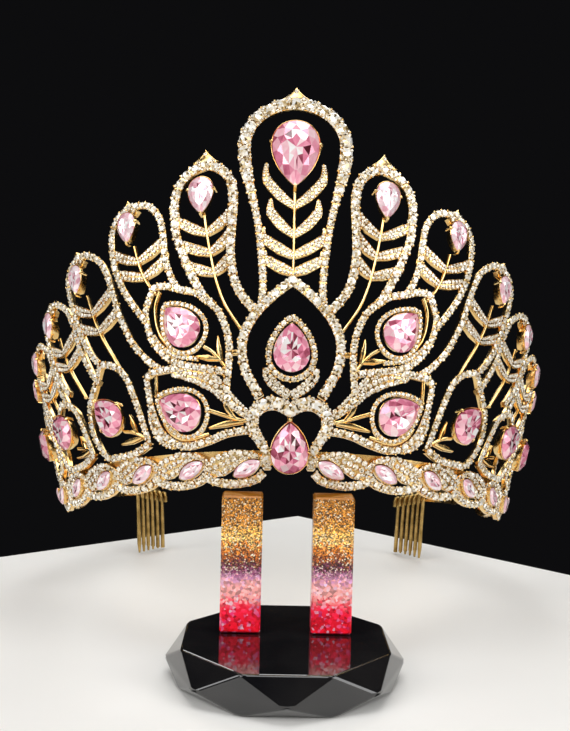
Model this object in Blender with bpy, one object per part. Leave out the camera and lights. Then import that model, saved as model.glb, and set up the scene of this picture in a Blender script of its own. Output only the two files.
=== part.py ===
"""Crystal crown on a display stand: pierced gold castings, a plain band, cut stones,
two hair combs, and the faceted foot with two resin posts that holds up its front."""

from collections import namedtuple
from math import ceil, cos, hypot, pi, radians, sin

import bmesh
import bpy
from mathutils import Matrix, Vector
from mathutils.bvhtree import BVHTree
from mathutils.geometry import delaunay_2d_cdt

MM = 0.001

# The crown: a ring that flares upward. Angles run round it in degrees from the front,
# heights run up it in millimetres from the base line.
BAND_RADIUS = 80.0
FLARE = 0.332
CURL = 0.00138
CROWN_TILT = radians(21.6)
CROWN_BACK = 82.8
CROWN_LIFT = 35.5
RISE_START = 70.0
RISE_PER_DEGREE = 0.26

# The castings: metal stands this far in front of the crown's surface.
STEM_DEPTH = 1.2
SEAT_DEPTH = 1.2
TRACK_DEPTH = 2.2
GAP = 0.3
SEAM_EASE = 1.2
SEAT_MARGIN = 0.5
MARQUISE_MARGIN = 0.4
TRACK_WIDTH = 2.5
ARCH_WIDTH = 4.2
STEM_WIDTH = 1.1
ONION_WIDTH = 3.2
HEART_WIDTHS = (4.2, 4.2, 4.1, 3.6, 3.0, 2.6)
COLLAR_WIDTHS = (2.2, 3.4, 3.4, 2.8)
FIELD_WIDTHS = (2.6, 5.0, 6.0, 4.6, 3.6, 3.0)
EYE_HALO_WIDTH = 1.6
FIRST_WIDTHS = (3.0, 3.3)
LINK_WIDTH = 1.6
TWIG_LEAF_WIDTHS = (1.1, 1.9, 0.6)
LEAF_WIDTHS = (2.0, 3.3, 3.1, 0.6)
TIP_HALF = 1.6
TIP_REACH = 5.4
TIP_EDGE = ((0.6, 0.9), (1.3, 1.8), (2.4, 2.9), (4.1, 4.1))
HALO_WIDTH = 2.0
HALO_LENGTHENING = 2.1
PEAR_TAPER = 0.62
MARQUISE_TAPER = 1.3
LEAF_BEND = ((0.56, 0.28), (1.0, 0.64))
LEAF_STEP = 3.4
ROUTE_STEP = 6.0
BLOB_RADIUS = 0.6

# The border: one scallop with a marquise in it, repeated along each side.
SCALLOP_START = 5.9
SCALLOP_PITCH = 12.1
SCALLOP_ARC = ((-0.6, -8.8), (1.5, -10.9), (6.1, -11.9), (10.6, -10.9), (12.1, -8.8))
SCALLOP_LEAF = ((-0.8, -6.6), (2, -4.3), (5.4, -5), (8.7, -6.7), (12.1, -8.3))
SCALLOP_WIDTH = 2.7
SCALLOP_LEAF_WIDTHS = (2.4, 2.8, 5.4, 6.6, 4.3)
SCALLOP_COUNT = 8
SEAM_SCALLOP = 2
SEAM_ANGLE = SCALLOP_START + SEAM_SCALLOP * SCALLOP_PITCH
MARQUISE_START = 2.8
MARQUISE_HEIGHT = -8.0
MARQUISE_LENGTH = 8.6
MARQUISE_WIDTH = 4.2
MARQUISE_LEAN = 118.0

# The side frames: one pear frame, repeated behind the seam.
SIDE_START = 39.8
SIDE_PITCH = 17.5
SIDE_COUNT = 4
SIDE_LATER_HEIGHT = 0.72

BAND_TOP = -2.5
BAND_BOTTOM = -9.0
BAND_FRONT_BOTTOM = -5.8
BAND_WIDENS = (60.0, 110.0)
BAND_END = 137.0
BAND_THICKNESS = 1.0
BAND_BEHIND = 0.5
BAND_STEP = 4.0

COMB_START = 126.2
COMB_TEETH = 6
TOOTH_PITCH = 2.1
TOOTH_WIDTH = 1.8
TOOTH_THICKNESS = 1.3
COMB_TOP = 9.0
COMB_BAR = 2.2
COMB_REACH = 40.0
COMB_BEHIND = 2.6
COMB_LEAN = 0.06

FOOT_HEIGHT = 10.5
FOOT_TOP_RADIUS = 30.7
FOOT_GIRDLE_RADIUS = 34.2
FOOT_GIRDLE_HEIGHT = 4.2
FOOT_SOLE_RADIUS = 31.5
POST_WIDTH = 11.6
POST_DEPTH = 7.7
POST_CENTRE_X = 13.0
POST_CENTRE_Y = 5.15
POST_TOP = 50.1
POST_BEVEL = 0.5

# Drawing the castings flat: width given to a degree, the border left round the drawing, the
# smallest face kept, the distance at which corners join, and how far an edge may be thinned.
FLAT_SCALE = 1.5
MARGIN = 5.0
SLIVER = 0.02
WELD = 0.001
STRAIGHT = 0.14

STONE_SIDES = 12
GIRDLE_SHARE = 0.4
TABLE_SHARE = 0.55
STONE_HEIGHT_SHARE = 0.24

Stone = namedtuple("Stone", "name angle height length width lean")
Barb = namedtuple("Barb", "root near_tip far_tip")
Feather = namedtuple("Feather", "name tip near far stem barbs stone")
Shape = namedtuple("Shape", "depth polygons")

# Each feather: its tip, the two tracks of its loop from the tip down, its stem from the stone
# down, and its barbs, as (angle, height) points.
CENTRE_FEATHER = Feather(
    "centre", (0, 104.5),
    near=[(0, 99.2), (-3.2, 98), (-6.2, 95), (-8.2, 90.4), (-8.8, 85), (-8.3, 77), (-6.3, 61),
          (-5.4, 45.5), (-5.6, 38)],
    far=[(0, 99.2), (3.2, 98), (6.2, 95), (8.2, 90.4), (8.8, 85), (8.3, 77), (6.3, 61),
         (5.4, 45.5), (5.6, 38)],
    stem=[(0, 74), (0, 46)],
    barbs=[Barb(66.5, (-4.9, 80), (4.9, 80)), Barb(58, (-4.1, 69), (4.1, 69)),
           Barb(52, (-5.3, 60.5), (5.3, 60.5)), Barb(47, (-5, 53.5), (5, 53.5))],
    stone=Stone("centre", 0, 81.8, 20.4, 13.9, 180))
FIRST_FEATHER = Feather(
    "first", (15.7, 85.3),
    near=[(15.7, 80.4), (13.4, 79), (11.4, 75.6), (10.7, 70), (11, 61), (11.2, 53), (10.6, 45.5),
          (9.2, 40.5), (6.8, 36)],
    far=[(15.7, 80.4), (18.2, 78.9), (20.4, 75.4), (21.4, 70.6), (21.5, 66), (21.3, 60),
         (20, 53.5), (18.7, 48), (16.4, 40.6)],
    stem=[(16, 66), (15.5, 59), (14.8, 52), (13.9, 45), (12.3, 38), (9.5, 31)],
    barbs=[Barb(59.5, (11.2, 69), (20.8, 66.8)), Barb(53.5, (11.4, 62), (21, 59.6)),
           Barb(47.5, (11.4, 55), (20, 52.8))],
    stone=Stone("first", 16.2, 70.3, 11.2, 7.7, 180))
SECOND_FEATHER = Feather(
    "second", (31.3, 73.7),
    near=[(31, 71.5), (27, 70.5), (24.6, 66), (23.9, 60), (23.6, 53), (22.3, 46.5), (21, 43.5)],
    far=[(31, 71.5), (33.5, 69), (35, 65), (35.3, 60), (34.8, 53.5), (33.3, 47), (31, 41),
         (28.4, 35.5)],
    stem=[(30.3, 59), (29.3, 52.5), (27.8, 47), (26, 43.5)],
    barbs=[Barb(54, (24, 62.5), (35, 60.5)), Barb(49, (23.6, 56.5), (34.4, 53.5))],
    stone=Stone("second", 31.0, 64.4, 9.5, 6.6, 180))
THIRD_FEATHER = Feather(
    "third", (45.3, 63.3),
    near=[(45, 61.2), (42, 60.6), (38.6, 57), (36.9, 52), (35.7, 46), (34.8, 40), (33.2, 34),
          (31.8, 29.8), (30.2, 26.6)],
    far=[(45, 61.2), (47.4, 58.8), (48.7, 55), (48.4, 50), (47.4, 44), (46, 37), (44, 31),
         (41.5, 26.5)],
    stem=[(43.2, 48.2), (41.7, 40), (40, 34), (37.5, 27.5), (36, 23.5)],
    barbs=[Barb(42, (36.4, 51), (48, 49)), Barb(36, (35.2, 44), (47.2, 42.5))],
    stone=Stone("third", 44.9, 53.6, 9.3, 6.4, 180))

# The three feathers behind repeat the third one, turned and shortened.
FeatherCopy = namedtuple("FeatherCopy", "name turn height_share stone_share foot_height")
FEATHER_COPIES = [
    FeatherCopy("fourth", 11.9, 0.86, 0.96, 18.0),
    FeatherCopy("fifth", 23.7, 0.74, 0.91, 14.0),
    FeatherCopy("sixth", 35.4, 0.62, 0.86, 11.0),
]

ONION_STONE = Stone("onion", 0, 25.4, 14, 10.5, 0)
HEART_STONE = Stone("heart", 0, -2.4, 14.3, 10.6, 0)
UPPER_EYE_STONE = Stone("upper_eye", 21, 33, 13.5, 11, 37)
LOWER_EYE_STONE = Stone("lower_eye", 22.3, 9, 14, 11, 60)
HALOED_STONES = (ONION_STONE, UPPER_EYE_STONE, LOWER_EYE_STONE)
SIDE_STONE = Stone("side", SIDE_START, 10, 13, 10.5, 42)

# Single tracks of the centre casting's right half, as (angle, height) points.
ONION_TRACK = [(0, 44.6), (3.3, 40.6), (6.6, 35.4), (8.7, 30), (9.3, 25), (8.8, 19.7), (7.4, 15.4),
               (6, 11.8)]
HEART_TRACK = [(0, 8.2), (2.4, 9.9), (4.9, 9.8), (6.9, 7.8), (7.5, 5), (7, 2), (5.6, -1.2),
               (4.7, -3.8), (4.6, -8)]
HEART_CUSP = [(0, 7.5), (0, 5.2)]
ONION_COLLAR = [(4.9, 20), (4.4, 17.4), (3.2, 15.2), (1.5, 13.3), (0, 12.2)]
UPPER_EYE_TRACK = [(16.8, 40.8), (14, 37), (12.4, 32), (11.7, 26), (12, 20), (12.5, 14),
                   (12, 10.5), (9.1, 7.2)]
UPPER_EYE_TOP = [(14.6, 38.5), (17.6, 41.9), (20.3, 43.2), (23.6, 45), (26.2, 45), (27.2, 42.5),
                 (28.3, 38), (27.8, 32), (26.5, 28), (24, 24), (20.5, 21.5), (12.5, 19)]
UPPER_EYE_LINK = [(9.0, 24.5), (12, 24.5)]
UPPER_TWIG = [(12.4, 19.6), (13.7, 22.6), (15.2, 25), (16.8, 26.6)]
UPPER_TWIG_LEAF = [(13.3, 22), (13.7, 25.4), (13.9, 29.4)]
UPPER_TWIG_BUD = [(13.8, 22.8), (15.8, 23.3), (18.4, 24)]
LOWER_EYE_TRACK = [(20.5, 21), (25.9, 20.8), (29, 19.8), (29.2, 14), (28.7, 9), (27.4, 4),
                   (24.6, 0.2), (21.5, -1.1), (17, 0), (13, 1.8), (9.2, 2.6), (6.8, 2.4)]
LOWER_EYE_FIELD = [(23.5, 19.9), (19, 18.9), (15.5, 16.4), (12.8, 12.4), (10.2, 8.8), (8.3, 6.8)]
LOWER_TWIG = [(8, 5.2), (10.6, 5.9), (13.6, 7.3), (16.2, 8.6)]
LOWER_TWIG_LEAF = [(10.9, 5.9), (12.5, 8.8), (13.5, 12.4)]
LOWER_TWIG_BUD = [(9.4, 5.1), (12.6, 4.8), (16.6, 3.8)]
UPPER_BAR = [(25.2, 43.8), (26.3, 40), (26.4, 35.4), (25.7, 31.2), (24.3, 28)]
THIRD_FOOT = [(29.95, 26.25), (28.3, 23.7), (26, 21)]
LOWER_BAR = [(27.4, 19.6), (27.7, 14), (27.2, 9.4), (25.8, 5.6), (23.8, 3)]

# One side frame, in degrees from its stone and millimetres of height.
SIDE_NEAR = [(1.2, 26), (-2.8, 24.2), (-5.3, 20.5), (-6.6, 15.5), (-7.6, 10.5), (-8.6, 4.6),
             (-9.2, 0.6)]
SIDE_FLOOR = [(-9.2, 0.6), (-5, -1.6), (0, -2), (3.4, -1.4), (5.8, 3), (6.9, 8), (6.4, 14.5),
              (3.8, 20), (1.2, 26)]
SIDE_TWIG = [(-8, 2.6), (-5.2, 4.6), (-2.6, 5.4)]


def radius_at(height):
    """Radius of the crown's surface at a height."""
    return BAND_RADIUS + FLARE * height - CURL * height * height


def mm_per_degree(height):
    """Length of one degree round the crown at a height."""
    return radius_at(height) * pi / 180


def crown_point(angle, height, proud, lift=0.0):
    """World place of a point on the crown, standing proud of its surface."""
    radius = radius_at(height) + proud
    turn = radians(angle)
    across = radius * sin(turn)
    back = -radius * cos(turn)
    up = height + lift
    return MM * Vector((across,
                        back * cos(CROWN_TILT) + up * sin(CROWN_TILT) + CROWN_BACK,
                        -back * sin(CROWN_TILT) + up * cos(CROWN_TILT) + CROWN_LIFT))


def rim_rise(angle):
    """How far the rim sweeps up towards the combs."""
    return RISE_PER_DEGREE * max(0.0, abs(angle) - RISE_START)


def casting_point(angle, height, proud):
    """World place of a point on a casting, which follows the sweep of the rim."""
    return crown_point(angle, height, proud, rim_rise(angle))


def smooth_route(points, step=ROUTE_STEP):
    """Even points along a smooth curve through the given ones."""
    ends = [points[0]] + list(points) + [points[-1]]
    route = []
    for k in range(1, len(ends) - 2):
        a, b, c, d = (Vector(ends[k + j]) for j in (-1, 0, 1, 2))
        length = hypot((c.x - b.x) * mm_per_degree(b.y), c.y - b.y)
        pieces = max(1, ceil(length / step))
        for j in range(pieces):
            t = j / pieces
            route.append(0.5 * (2 * b + (c - a) * t + (2 * a - 5 * b + 4 * c - d) * t ** 2
                                + (3 * b - a - 3 * c + d) * t ** 3))
    route.append(Vector(points[-1]))
    return route


def ribbon(points, widths, depth, step=ROUTE_STEP):
    """A strip of metal along a smooth route; its widths are read evenly along it."""
    route = smooth_route(points, step)
    edges = []
    for k, point in enumerate(route):
        scale = mm_per_degree(point.y)
        before = route[max(k - 1, 0)]
        after = route[min(k + 1, len(route) - 1)]
        along = Vector(((after.x - before.x) * scale, after.y - before.y)).normalized()
        place = k / (len(route) - 1) * (len(widths) - 1)
        left = min(int(place), len(widths) - 2) if len(widths) > 1 else 0
        right = min(left + 1, len(widths) - 1)
        width = widths[left] + (widths[right] - widths[left]) * (place - left)
        side = Vector((-along.y / scale, along.x)) * width / 2
        edges.append((point + side, point - side))
    quads = [[edges[k][0], edges[k][1], edges[k + 1][1], edges[k + 1][0]]
             for k in range(len(edges) - 1)]
    return Shape(depth, quads)


def pear_outline(length, width, count=STONE_SIDES):
    """A pear's outline in millimetres, its point up, its middle at the origin."""
    turns = [2 * pi * k / count for k in range(count)]
    sideways = [sin(t) * abs(sin(t / 2)) ** PEAR_TAPER for t in turns]
    widest = max(abs(sin(t) * abs(sin(t / 2)) ** PEAR_TAPER)
                 for t in [2 * pi * k / 360 for k in range(360)])
    return [(-width / 2 * s / widest, length / 2 * cos(t)) for s, t in zip(sideways, turns)]


def marquise_outline(length, width, count=8):
    """A marquise's outline in millimetres, one point up."""
    outline = []
    for k in range(count):
        turn = 2 * pi * k / count
        swell = abs(sin(turn)) ** MARQUISE_TAPER
        outline.append((-width / 2 * swell * (1 if sin(turn) >= 0 else -1),
                        length / 2 * cos(turn)))
    return outline


def laid_down(outline, stone):
    """An outline in millimetres, leaned and moved to its stone's place on the crown."""
    lean = radians(stone.lean)
    scale = mm_per_degree(stone.height)
    return [Vector((stone.angle + (x * cos(lean) + y * sin(lean)) / scale,
                    stone.height - x * sin(lean) + y * cos(lean))) for x, y in outline]


def seat(stone, margin=SEAT_MARGIN, make=pear_outline):
    """The raised plate behind a stone that has no ring of metal round it."""
    return Shape(TRACK_DEPTH, [laid_down(make(stone.length + 2 * margin,
                                             stone.width + 2 * margin), stone)])


def halo(stone, width=HALO_WIDTH):
    """The ring of metal round a stone, clear of its girdle, on a plate."""
    inner = laid_down(pear_outline(stone.length + 4 * GAP, stone.width + 2 * GAP), stone)
    outer = laid_down(pear_outline(stone.length + 4 * GAP + HALO_LENGTHENING * width,
                                   stone.width + 2 * GAP + 2 * width), stone)
    count = len(inner)
    ring = [[inner[k], inner[(k + 1) % count], outer[(k + 1) % count], outer[k]]
            for k in range(count)]
    return [Shape(TRACK_DEPTH, ring), Shape(SEAT_DEPTH, [outer])]


def height_on(route, height):
    """Where a stem that runs downwards passes a height."""
    for upper, lower in zip(route, route[1:]):
        if upper.y >= height >= lower.y:
            share = (upper.y - height) / (upper.y - lower.y)
            return upper.lerp(lower, share)
    return route[-1]


def feather_shapes(feather, track_width=TRACK_WIDTH, arch_width=TRACK_WIDTH):
    """A feather's loop, pointed tip, stem, barbs and stone seat."""
    tip_angle, tip_height = feather.tip
    scale = mm_per_degree(tip_height)
    half = [(0, 0)] + [(x / scale, -y) for x, y in TIP_EDGE] + [(TIP_HALF, -TIP_REACH)]
    tip = [[Vector((tip_angle + side * x, tip_height + y)) for x, y in half]
           + [Vector((tip_angle, tip_height - TIP_REACH))] for side in (-1, 1)]
    widths = (arch_width, arch_width, arch_width, track_width, track_width, track_width)
    shapes = [ribbon(feather.near, widths, TRACK_DEPTH), ribbon(feather.far, widths, TRACK_DEPTH),
              Shape(TRACK_DEPTH, tip), ribbon(feather.stem, (STEM_WIDTH,), STEM_DEPTH),
              seat(feather.stone)]
    stem = smooth_route(feather.stem)
    for barb in feather.barbs:
        root = height_on(stem, barb.root)
        for end in (barb.near_tip, barb.far_tip):
            across, rise = end[0] - root.x, end[1] - root.y
            route = [root] + [(root.x + x * across, root.y + y * rise) for x, y in LEAF_BEND]
            shapes.append(ribbon(route + [end], LEAF_WIDTHS, STEM_DEPTH, LEAF_STEP))
    return shapes


def copied_feather(copy):
    """The third feather, turned round the crown and shortened."""
    source = THIRD_FEATHER
    lowest = source.stem[-1][1]

    def moved(point):
        height = copy.foot_height + (point[1] - lowest) * copy.height_share
        return (point[0] + copy.turn, height)

    stone = source.stone
    place = moved((stone.angle, stone.height))
    return Feather(
        copy.name, moved(source.tip), [moved(p) for p in source.near],
        [moved(p) for p in source.far], [moved(p) for p in source.stem],
        [Barb(moved((0, b.root))[1], moved(b.near_tip), moved(b.far_tip)) for b in source.barbs],
        stone._replace(name=copy.name, angle=place[0], height=place[1],
                       length=stone.length * copy.stone_share,
                       width=stone.width * copy.stone_share))


def border_stone(number):
    """The marquise in one scallop."""
    angle = SCALLOP_START + SCALLOP_PITCH * number + MARQUISE_START
    return Stone("border_%d" % (number + 1), angle, MARQUISE_HEIGHT, MARQUISE_LENGTH,
                 MARQUISE_WIDTH, MARQUISE_LEAN)


def scallop(number):
    """One scallop of the border: its hanging arc, the leaf over it and the marquise's seat."""
    start = SCALLOP_START + SCALLOP_PITCH * number
    arc = [(start + a, h) for a, h in SCALLOP_ARC]
    leaf = [(start + a, h) for a, h in SCALLOP_LEAF]
    return [ribbon(arc, (SCALLOP_WIDTH,), TRACK_DEPTH),
            ribbon(leaf, SCALLOP_LEAF_WIDTHS, TRACK_DEPTH),
            seat(border_stone(number), MARQUISE_MARGIN, marquise_outline)]


def side_stone(number):
    """The pear of one side frame."""
    return SIDE_STONE._replace(name="side_%d" % (number + 1),
                               angle=SIDE_START + SIDE_PITCH * number)


def side_frame(number):
    """One side frame: its tracks, twig and the seat of its pear."""
    stone = side_stone(number)
    share = 1.0 if number == 0 else SIDE_LATER_HEIGHT

    def moved(points):
        return [(stone.angle + angle, height * (share if height > 0 else 1))
                for angle, height in points]

    return [ribbon(moved(SIDE_NEAR), (TRACK_WIDTH,), TRACK_DEPTH),
            ribbon(moved(SIDE_FLOOR), (TRACK_WIDTH,), TRACK_DEPTH),
            ribbon(moved(SIDE_TWIG), (STEM_WIDTH,), STEM_DEPTH),
            seat(stone)]


def trimmed(shapes, keep):
    """Shapes cut off along the seam; keep is -1 for the centre's side of it and 1 for the other."""
    limit = SEAM_ANGLE + keep * GAP / 2 / mm_per_degree(0) * SEAM_EASE
    kept = []
    for shape in shapes:
        polygons = []
        for polygon in shape.polygons:
            ring = []
            for k, point in enumerate(polygon):
                before = polygon[k - 1]
                inside = (point[0] - limit) * keep >= 0
                if inside != ((before[0] - limit) * keep >= 0):
                    share = (limit - before[0]) / (point[0] - before[0])
                    ring.append(Vector((limit, before[1] + share * (point[1] - before[1]))))
                if inside:
                    ring.append(Vector(point))
            if len(ring) > 2:
                polygons.append(ring)
        kept.append(Shape(shape.depth, polygons))
    return kept


def mirrored(shapes):
    """The same shapes on the other side of the front."""
    return [Shape(shape.depth, [[Vector((-p[0], p[1])) for p in reversed(polygon)]
                                for polygon in shape.polygons]) for shape in shapes]


def centre_shapes():
    """Everything in the centre casting."""
    half = [ribbon(ONION_TRACK, (ONION_WIDTH,), TRACK_DEPTH),
            ribbon(HEART_TRACK, HEART_WIDTHS, TRACK_DEPTH),
            ribbon(ONION_COLLAR, COLLAR_WIDTHS, TRACK_DEPTH),
            ribbon(UPPER_EYE_TRACK, (TRACK_WIDTH,), TRACK_DEPTH),
            ribbon(UPPER_EYE_TOP, (TRACK_WIDTH,), TRACK_DEPTH),
            ribbon(UPPER_EYE_LINK, (LINK_WIDTH,), STEM_DEPTH),
            ribbon(LOWER_EYE_TRACK, (TRACK_WIDTH,), TRACK_DEPTH),
            ribbon(THIRD_FOOT, (TRACK_WIDTH,), TRACK_DEPTH),
            ribbon(LOWER_EYE_FIELD, FIELD_WIDTHS, TRACK_DEPTH)]
    half += [ribbon(points, (STEM_WIDTH,), STEM_DEPTH)
             for points in (UPPER_TWIG, LOWER_TWIG, UPPER_BAR, LOWER_BAR)]
    half += [ribbon(points, TWIG_LEAF_WIDTHS, STEM_DEPTH)
             for points in (UPPER_TWIG_LEAF, UPPER_TWIG_BUD, LOWER_TWIG_LEAF, LOWER_TWIG_BUD)]
    half += halo(UPPER_EYE_STONE, EYE_HALO_WIDTH) + halo(LOWER_EYE_STONE, EYE_HALO_WIDTH)
    half += feather_shapes(FIRST_FEATHER, *FIRST_WIDTHS) + feather_shapes(SECOND_FEATHER)
    for number in range(SEAM_SCALLOP):
        half += trimmed(scallop(number), -1)
    middle = feather_shapes(CENTRE_FEATHER, TRACK_WIDTH, ARCH_WIDTH)
    middle += halo(ONION_STONE) + [ribbon(HEART_CUSP, (LINK_WIDTH,), TRACK_DEPTH),
                                   seat(HEART_STONE)]
    return middle + half + mirrored(half)


def side_shapes():
    """Everything in the right side casting."""
    shapes = feather_shapes(THIRD_FEATHER)
    for copy in FEATHER_COPIES:
        shapes += feather_shapes(copied_feather(copy))
    for number in range(SIDE_COUNT):
        shapes += side_frame(number)
    for number in range(SEAM_SCALLOP, SCALLOP_COUNT):
        shapes += trimmed(scallop(number), 1)
    return shapes


def signed_area(ring):
    """Area of a flat ring of corners, positive where they run anticlockwise."""
    return sum(ring[k - 1].cross(ring[k]) for k in range(len(ring))) / 2


def thinned(chain):
    """The corners of a chain that its shape needs."""
    if len(chain) < 3:
        return chain
    first, last = chain[0], chain[-1]
    along = last - first
    if along.length < WELD:
        away = [(p - first).length for p in chain]
    else:
        away = [abs(along.cross(p - first)) / along.length for p in chain]
    far = max(range(1, len(chain) - 1), key=lambda k: away[k])
    if away[far] < STRAIGHT:
        return [first, last]
    return thinned(chain[:far + 1])[:-1] + thinned(chain[far:])


def simple_borders(places, triangles, covered):
    """Chains of corners along which the depth changes, thinned."""
    sides = {}
    for triangle, level in zip(triangles, covered):
        for k in range(3):
            sides.setdefault(frozenset((triangle[k - 1], triangle[k])), []).append(level)
    near = {}
    for edge, found in sides.items():
        if len(found) == 2 and found[0] != found[1]:
            a, b = edge
            near.setdefault(a, set()).add(b)
            near.setdefault(b, set()).add(a)
    fixed = [k for k in sorted(near) if len(near[k]) != 2]
    chains = []
    for start in fixed + sorted(near):
        while near[start]:
            chain = [start]
            step = min(near[start])
            while True:
                near[chain[-1]].discard(step)
                near[step].discard(chain[-1])
                chain.append(step)
                if step in fixed or not near[step]:
                    break
                step = min(near[step])
            chains.append(thinned([places[k] for k in chain]))
    return chains


def flat_union(shapes):
    """One flat mesh of all the shapes, split where the depth changes."""
    points, faces, depths = [], [], []
    for shape in shapes:
        for polygon in shape.polygons:
            corners = [Vector((p[0] * FLAT_SCALE, p[1])) for p in polygon]
            halves = [corners[:3], corners[2:] + corners[:1]] if len(corners) == 4 else [corners]
            for ring in halves:
                area = signed_area(ring)
                if abs(area) < SLIVER:
                    continue
                if area < 0:
                    ring.reverse()
                faces.append(list(range(len(points), len(points) + len(ring))))
                points += ring
                depths.append(shape.depth)
    wide = [p.x for p in points]
    tall = [p.y for p in points]
    points += [Vector((x, y)) for x in (min(wide) - MARGIN, max(wide) + MARGIN)
               for y in (min(tall) - MARGIN, max(tall) + MARGIN)]
    found = delaunay_2d_cdt(points, [], faces, 0, 0.0005, True)
    levels = sorted(set(depths))
    places = found[0]
    covered = [levels.index(max(depths[k] for k in origin)) + 1 if origin else 0
               for origin in found[5]]
    lookup = BVHTree.FromPolygons([(p.x, p.y, 0) for p in places], found[2])
    borders = simple_borders(places, found[2], covered)
    corners = []
    edges = []
    for chain in borders:
        start = len(corners)
        corners += chain
        edges += [(start + k, start + k + 1) for k in range(len(chain) - 1)]
    corners += points[-4:]
    drawn = delaunay_2d_cdt(corners, edges, [], 0, WELD, False)
    mesh = bmesh.new()
    made = [mesh.verts.new((p.x, p.y, 0)) for p in drawn[0]]
    for triangle in drawn[2]:
        face = mesh.faces.new([made[k] for k in triangle])
        middle = face.calc_center_median()
        face.material_index = covered[lookup.find_nearest(middle)[2]]
    return mesh, [0.0] + levels


def steps_round(corner):
    """The depths met on a walk round a corner of the flat mesh."""
    face = corner.link_faces[0]
    edge = next(e for e in face.edges if corner in e.verts)
    walk = []
    for _ in corner.link_faces:
        walk.append(face.material_index)
        edge = next(e for e in face.edges if corner in e.verts and e is not edge)
        others = [f for f in edge.link_faces if f is not face]
        if not others:
            break
        face = others[0]
    return walk


def pinched(corner):
    """True where two bodies of metal would meet in a single line."""
    walk = steps_round(corner)
    for level in range(1, max(walk) + 1):
        over = [k >= level for k in walk]
        changes = sum(over[k] != over[k - 1] for k in range(len(over)))
        if changes > 2:
            return True
    return False


def blob(place, depth):
    """A small bead of solder."""
    height = place[1]
    scale = mm_per_degree(height)
    return Shape(depth, [[Vector((place[0] + BLOB_RADIUS * cos(k * pi / 3 + 0.3) / scale,
                                  height + BLOB_RADIUS * sin(k * pi / 3 + 0.3)))
                          for k in range(6)]])


def raised_plate(shapes, place, back=0.0):
    """A solid with a level back and a stepped front, bent onto the crown by place."""
    for _ in range(8):
        flat, depths = flat_union(shapes)
        spots = [v for v in flat.verts if v.link_faces and pinched(v)]
        if not spots:
            break
        for spot in spots:
            depth = depths[max(steps_round(spot))]
            shapes = shapes + [blob((spot.co.x / FLAT_SCALE, spot.co.y), depth)]
        flat.free()
    solid = bmesh.new()
    made = {}

    def corner(flat_corner, level):
        key = (flat_corner.index, level)
        if key not in made:
            angle = flat_corner.co.x / FLAT_SCALE
            made[key] = solid.verts.new(place(angle, flat_corner.co.y, back + depths[level]))
        return made[key]

    flat.verts.index_update()
    used = {v.index: sorted({0} | {f.material_index for f in v.link_faces}) for v in flat.verts}
    for face in flat.faces:
        level = face.material_index
        if level:
            ring = [loop.vert for loop in face.loops]
            if face.normal.z < 0:
                ring.reverse()
            solid.faces.new([corner(v, level) for v in ring])
            solid.faces.new([corner(v, 0) for v in reversed(ring)])
    for edge in flat.edges:
        sides = sorted(edge.link_faces, key=lambda f: f.material_index)
        low, high = sides[0].material_index, sides[-1].material_index
        if len(sides) == 2 and low != high:
            first, second = edge.verts
            loop = next(item for item in sides[-1].loops if item.edge is edge)
            forward = loop.vert is first
            if sides[-1].normal.z < 0:
                forward = not forward
            if not forward:
                first, second = second, first
            down = [k for k in reversed(used[first.index]) if low <= k <= high]
            up = [k for k in used[second.index] if low <= k <= high]
            solid.faces.new([corner(first, k) for k in down] + [corner(second, k) for k in up])
    flat.free()
    bmesh.ops.triangulate(solid, faces=solid.faces)
    return solid


def finish(name, solid, material):
    """Make the object of a solid."""
    bmesh.ops.recalc_face_normals(solid, faces=solid.faces)
    mesh = bpy.data.meshes.new(name)
    solid.to_mesh(mesh)
    solid.free()
    mesh.materials.append(material)
    piece = bpy.data.objects.new(name, mesh)
    bpy.context.scene.collection.objects.link(piece)
    return piece


def make_material(name, colour, roughness, metallic):
    """A Principled material."""
    material = bpy.data.materials.new(name)
    material.use_nodes = True
    shader = material.node_tree.nodes["Principled BSDF"]
    shader.inputs["Base Color"].default_value = (*colour, 1)
    shader.inputs["Roughness"].default_value = roughness
    shader.inputs["Metallic"].default_value = metallic
    return material


def cut_stone(stone, material, side, depth, make):
    """A faceted stone: flat back, upright girdle, slanting crown facets and a flat table."""
    outline = make(stone.length, stone.width)
    lean = radians(stone.lean)
    height = stone.width * STONE_HEIGHT_SHARE
    centre = casting_point(side * stone.angle, stone.height, depth + GAP)
    above = casting_point(side * stone.angle, stone.height + 1, depth + GAP)
    beside = casting_point(side * stone.angle + 1, stone.height, depth + GAP)
    up = (above - centre).normalized()
    out = (beside - centre).cross(up).normalized()
    across = up.cross(out).normalized()

    def place(x, y, proud):
        turned_x = side * (x * cos(lean) + y * sin(lean))
        turned_y = -x * sin(lean) + y * cos(lean)
        return centre + MM * (across * turned_x + up * turned_y + out * proud)

    count = len(outline)
    solid = bmesh.new()
    rings = []
    for share, proud in ((1, 0), (1, height * GIRDLE_SHARE)):
        rings.append([solid.verts.new(place(x * share, y * share, proud)) for x, y in outline])
    table = []
    for k in range(count):
        x = (outline[k][0] + outline[(k + 1) % count][0]) / 2 * TABLE_SHARE
        y = (outline[k][1] + outline[(k + 1) % count][1]) / 2 * TABLE_SHARE
        table.append(solid.verts.new(place(x, y, height)))
    back, girdle = rings
    solid.faces.new(back)
    solid.faces.new(table)
    for k in range(count):
        after = (k + 1) % count
        solid.faces.new([back[k], back[after], girdle[after], girdle[k]])
        solid.faces.new([girdle[k], girdle[after], table[k]])
        solid.faces.new([girdle[after], table[after], table[k]])
    bmesh.ops.triangulate(solid, faces=solid.faces)
    return finish(stone.name, solid, material)


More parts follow.
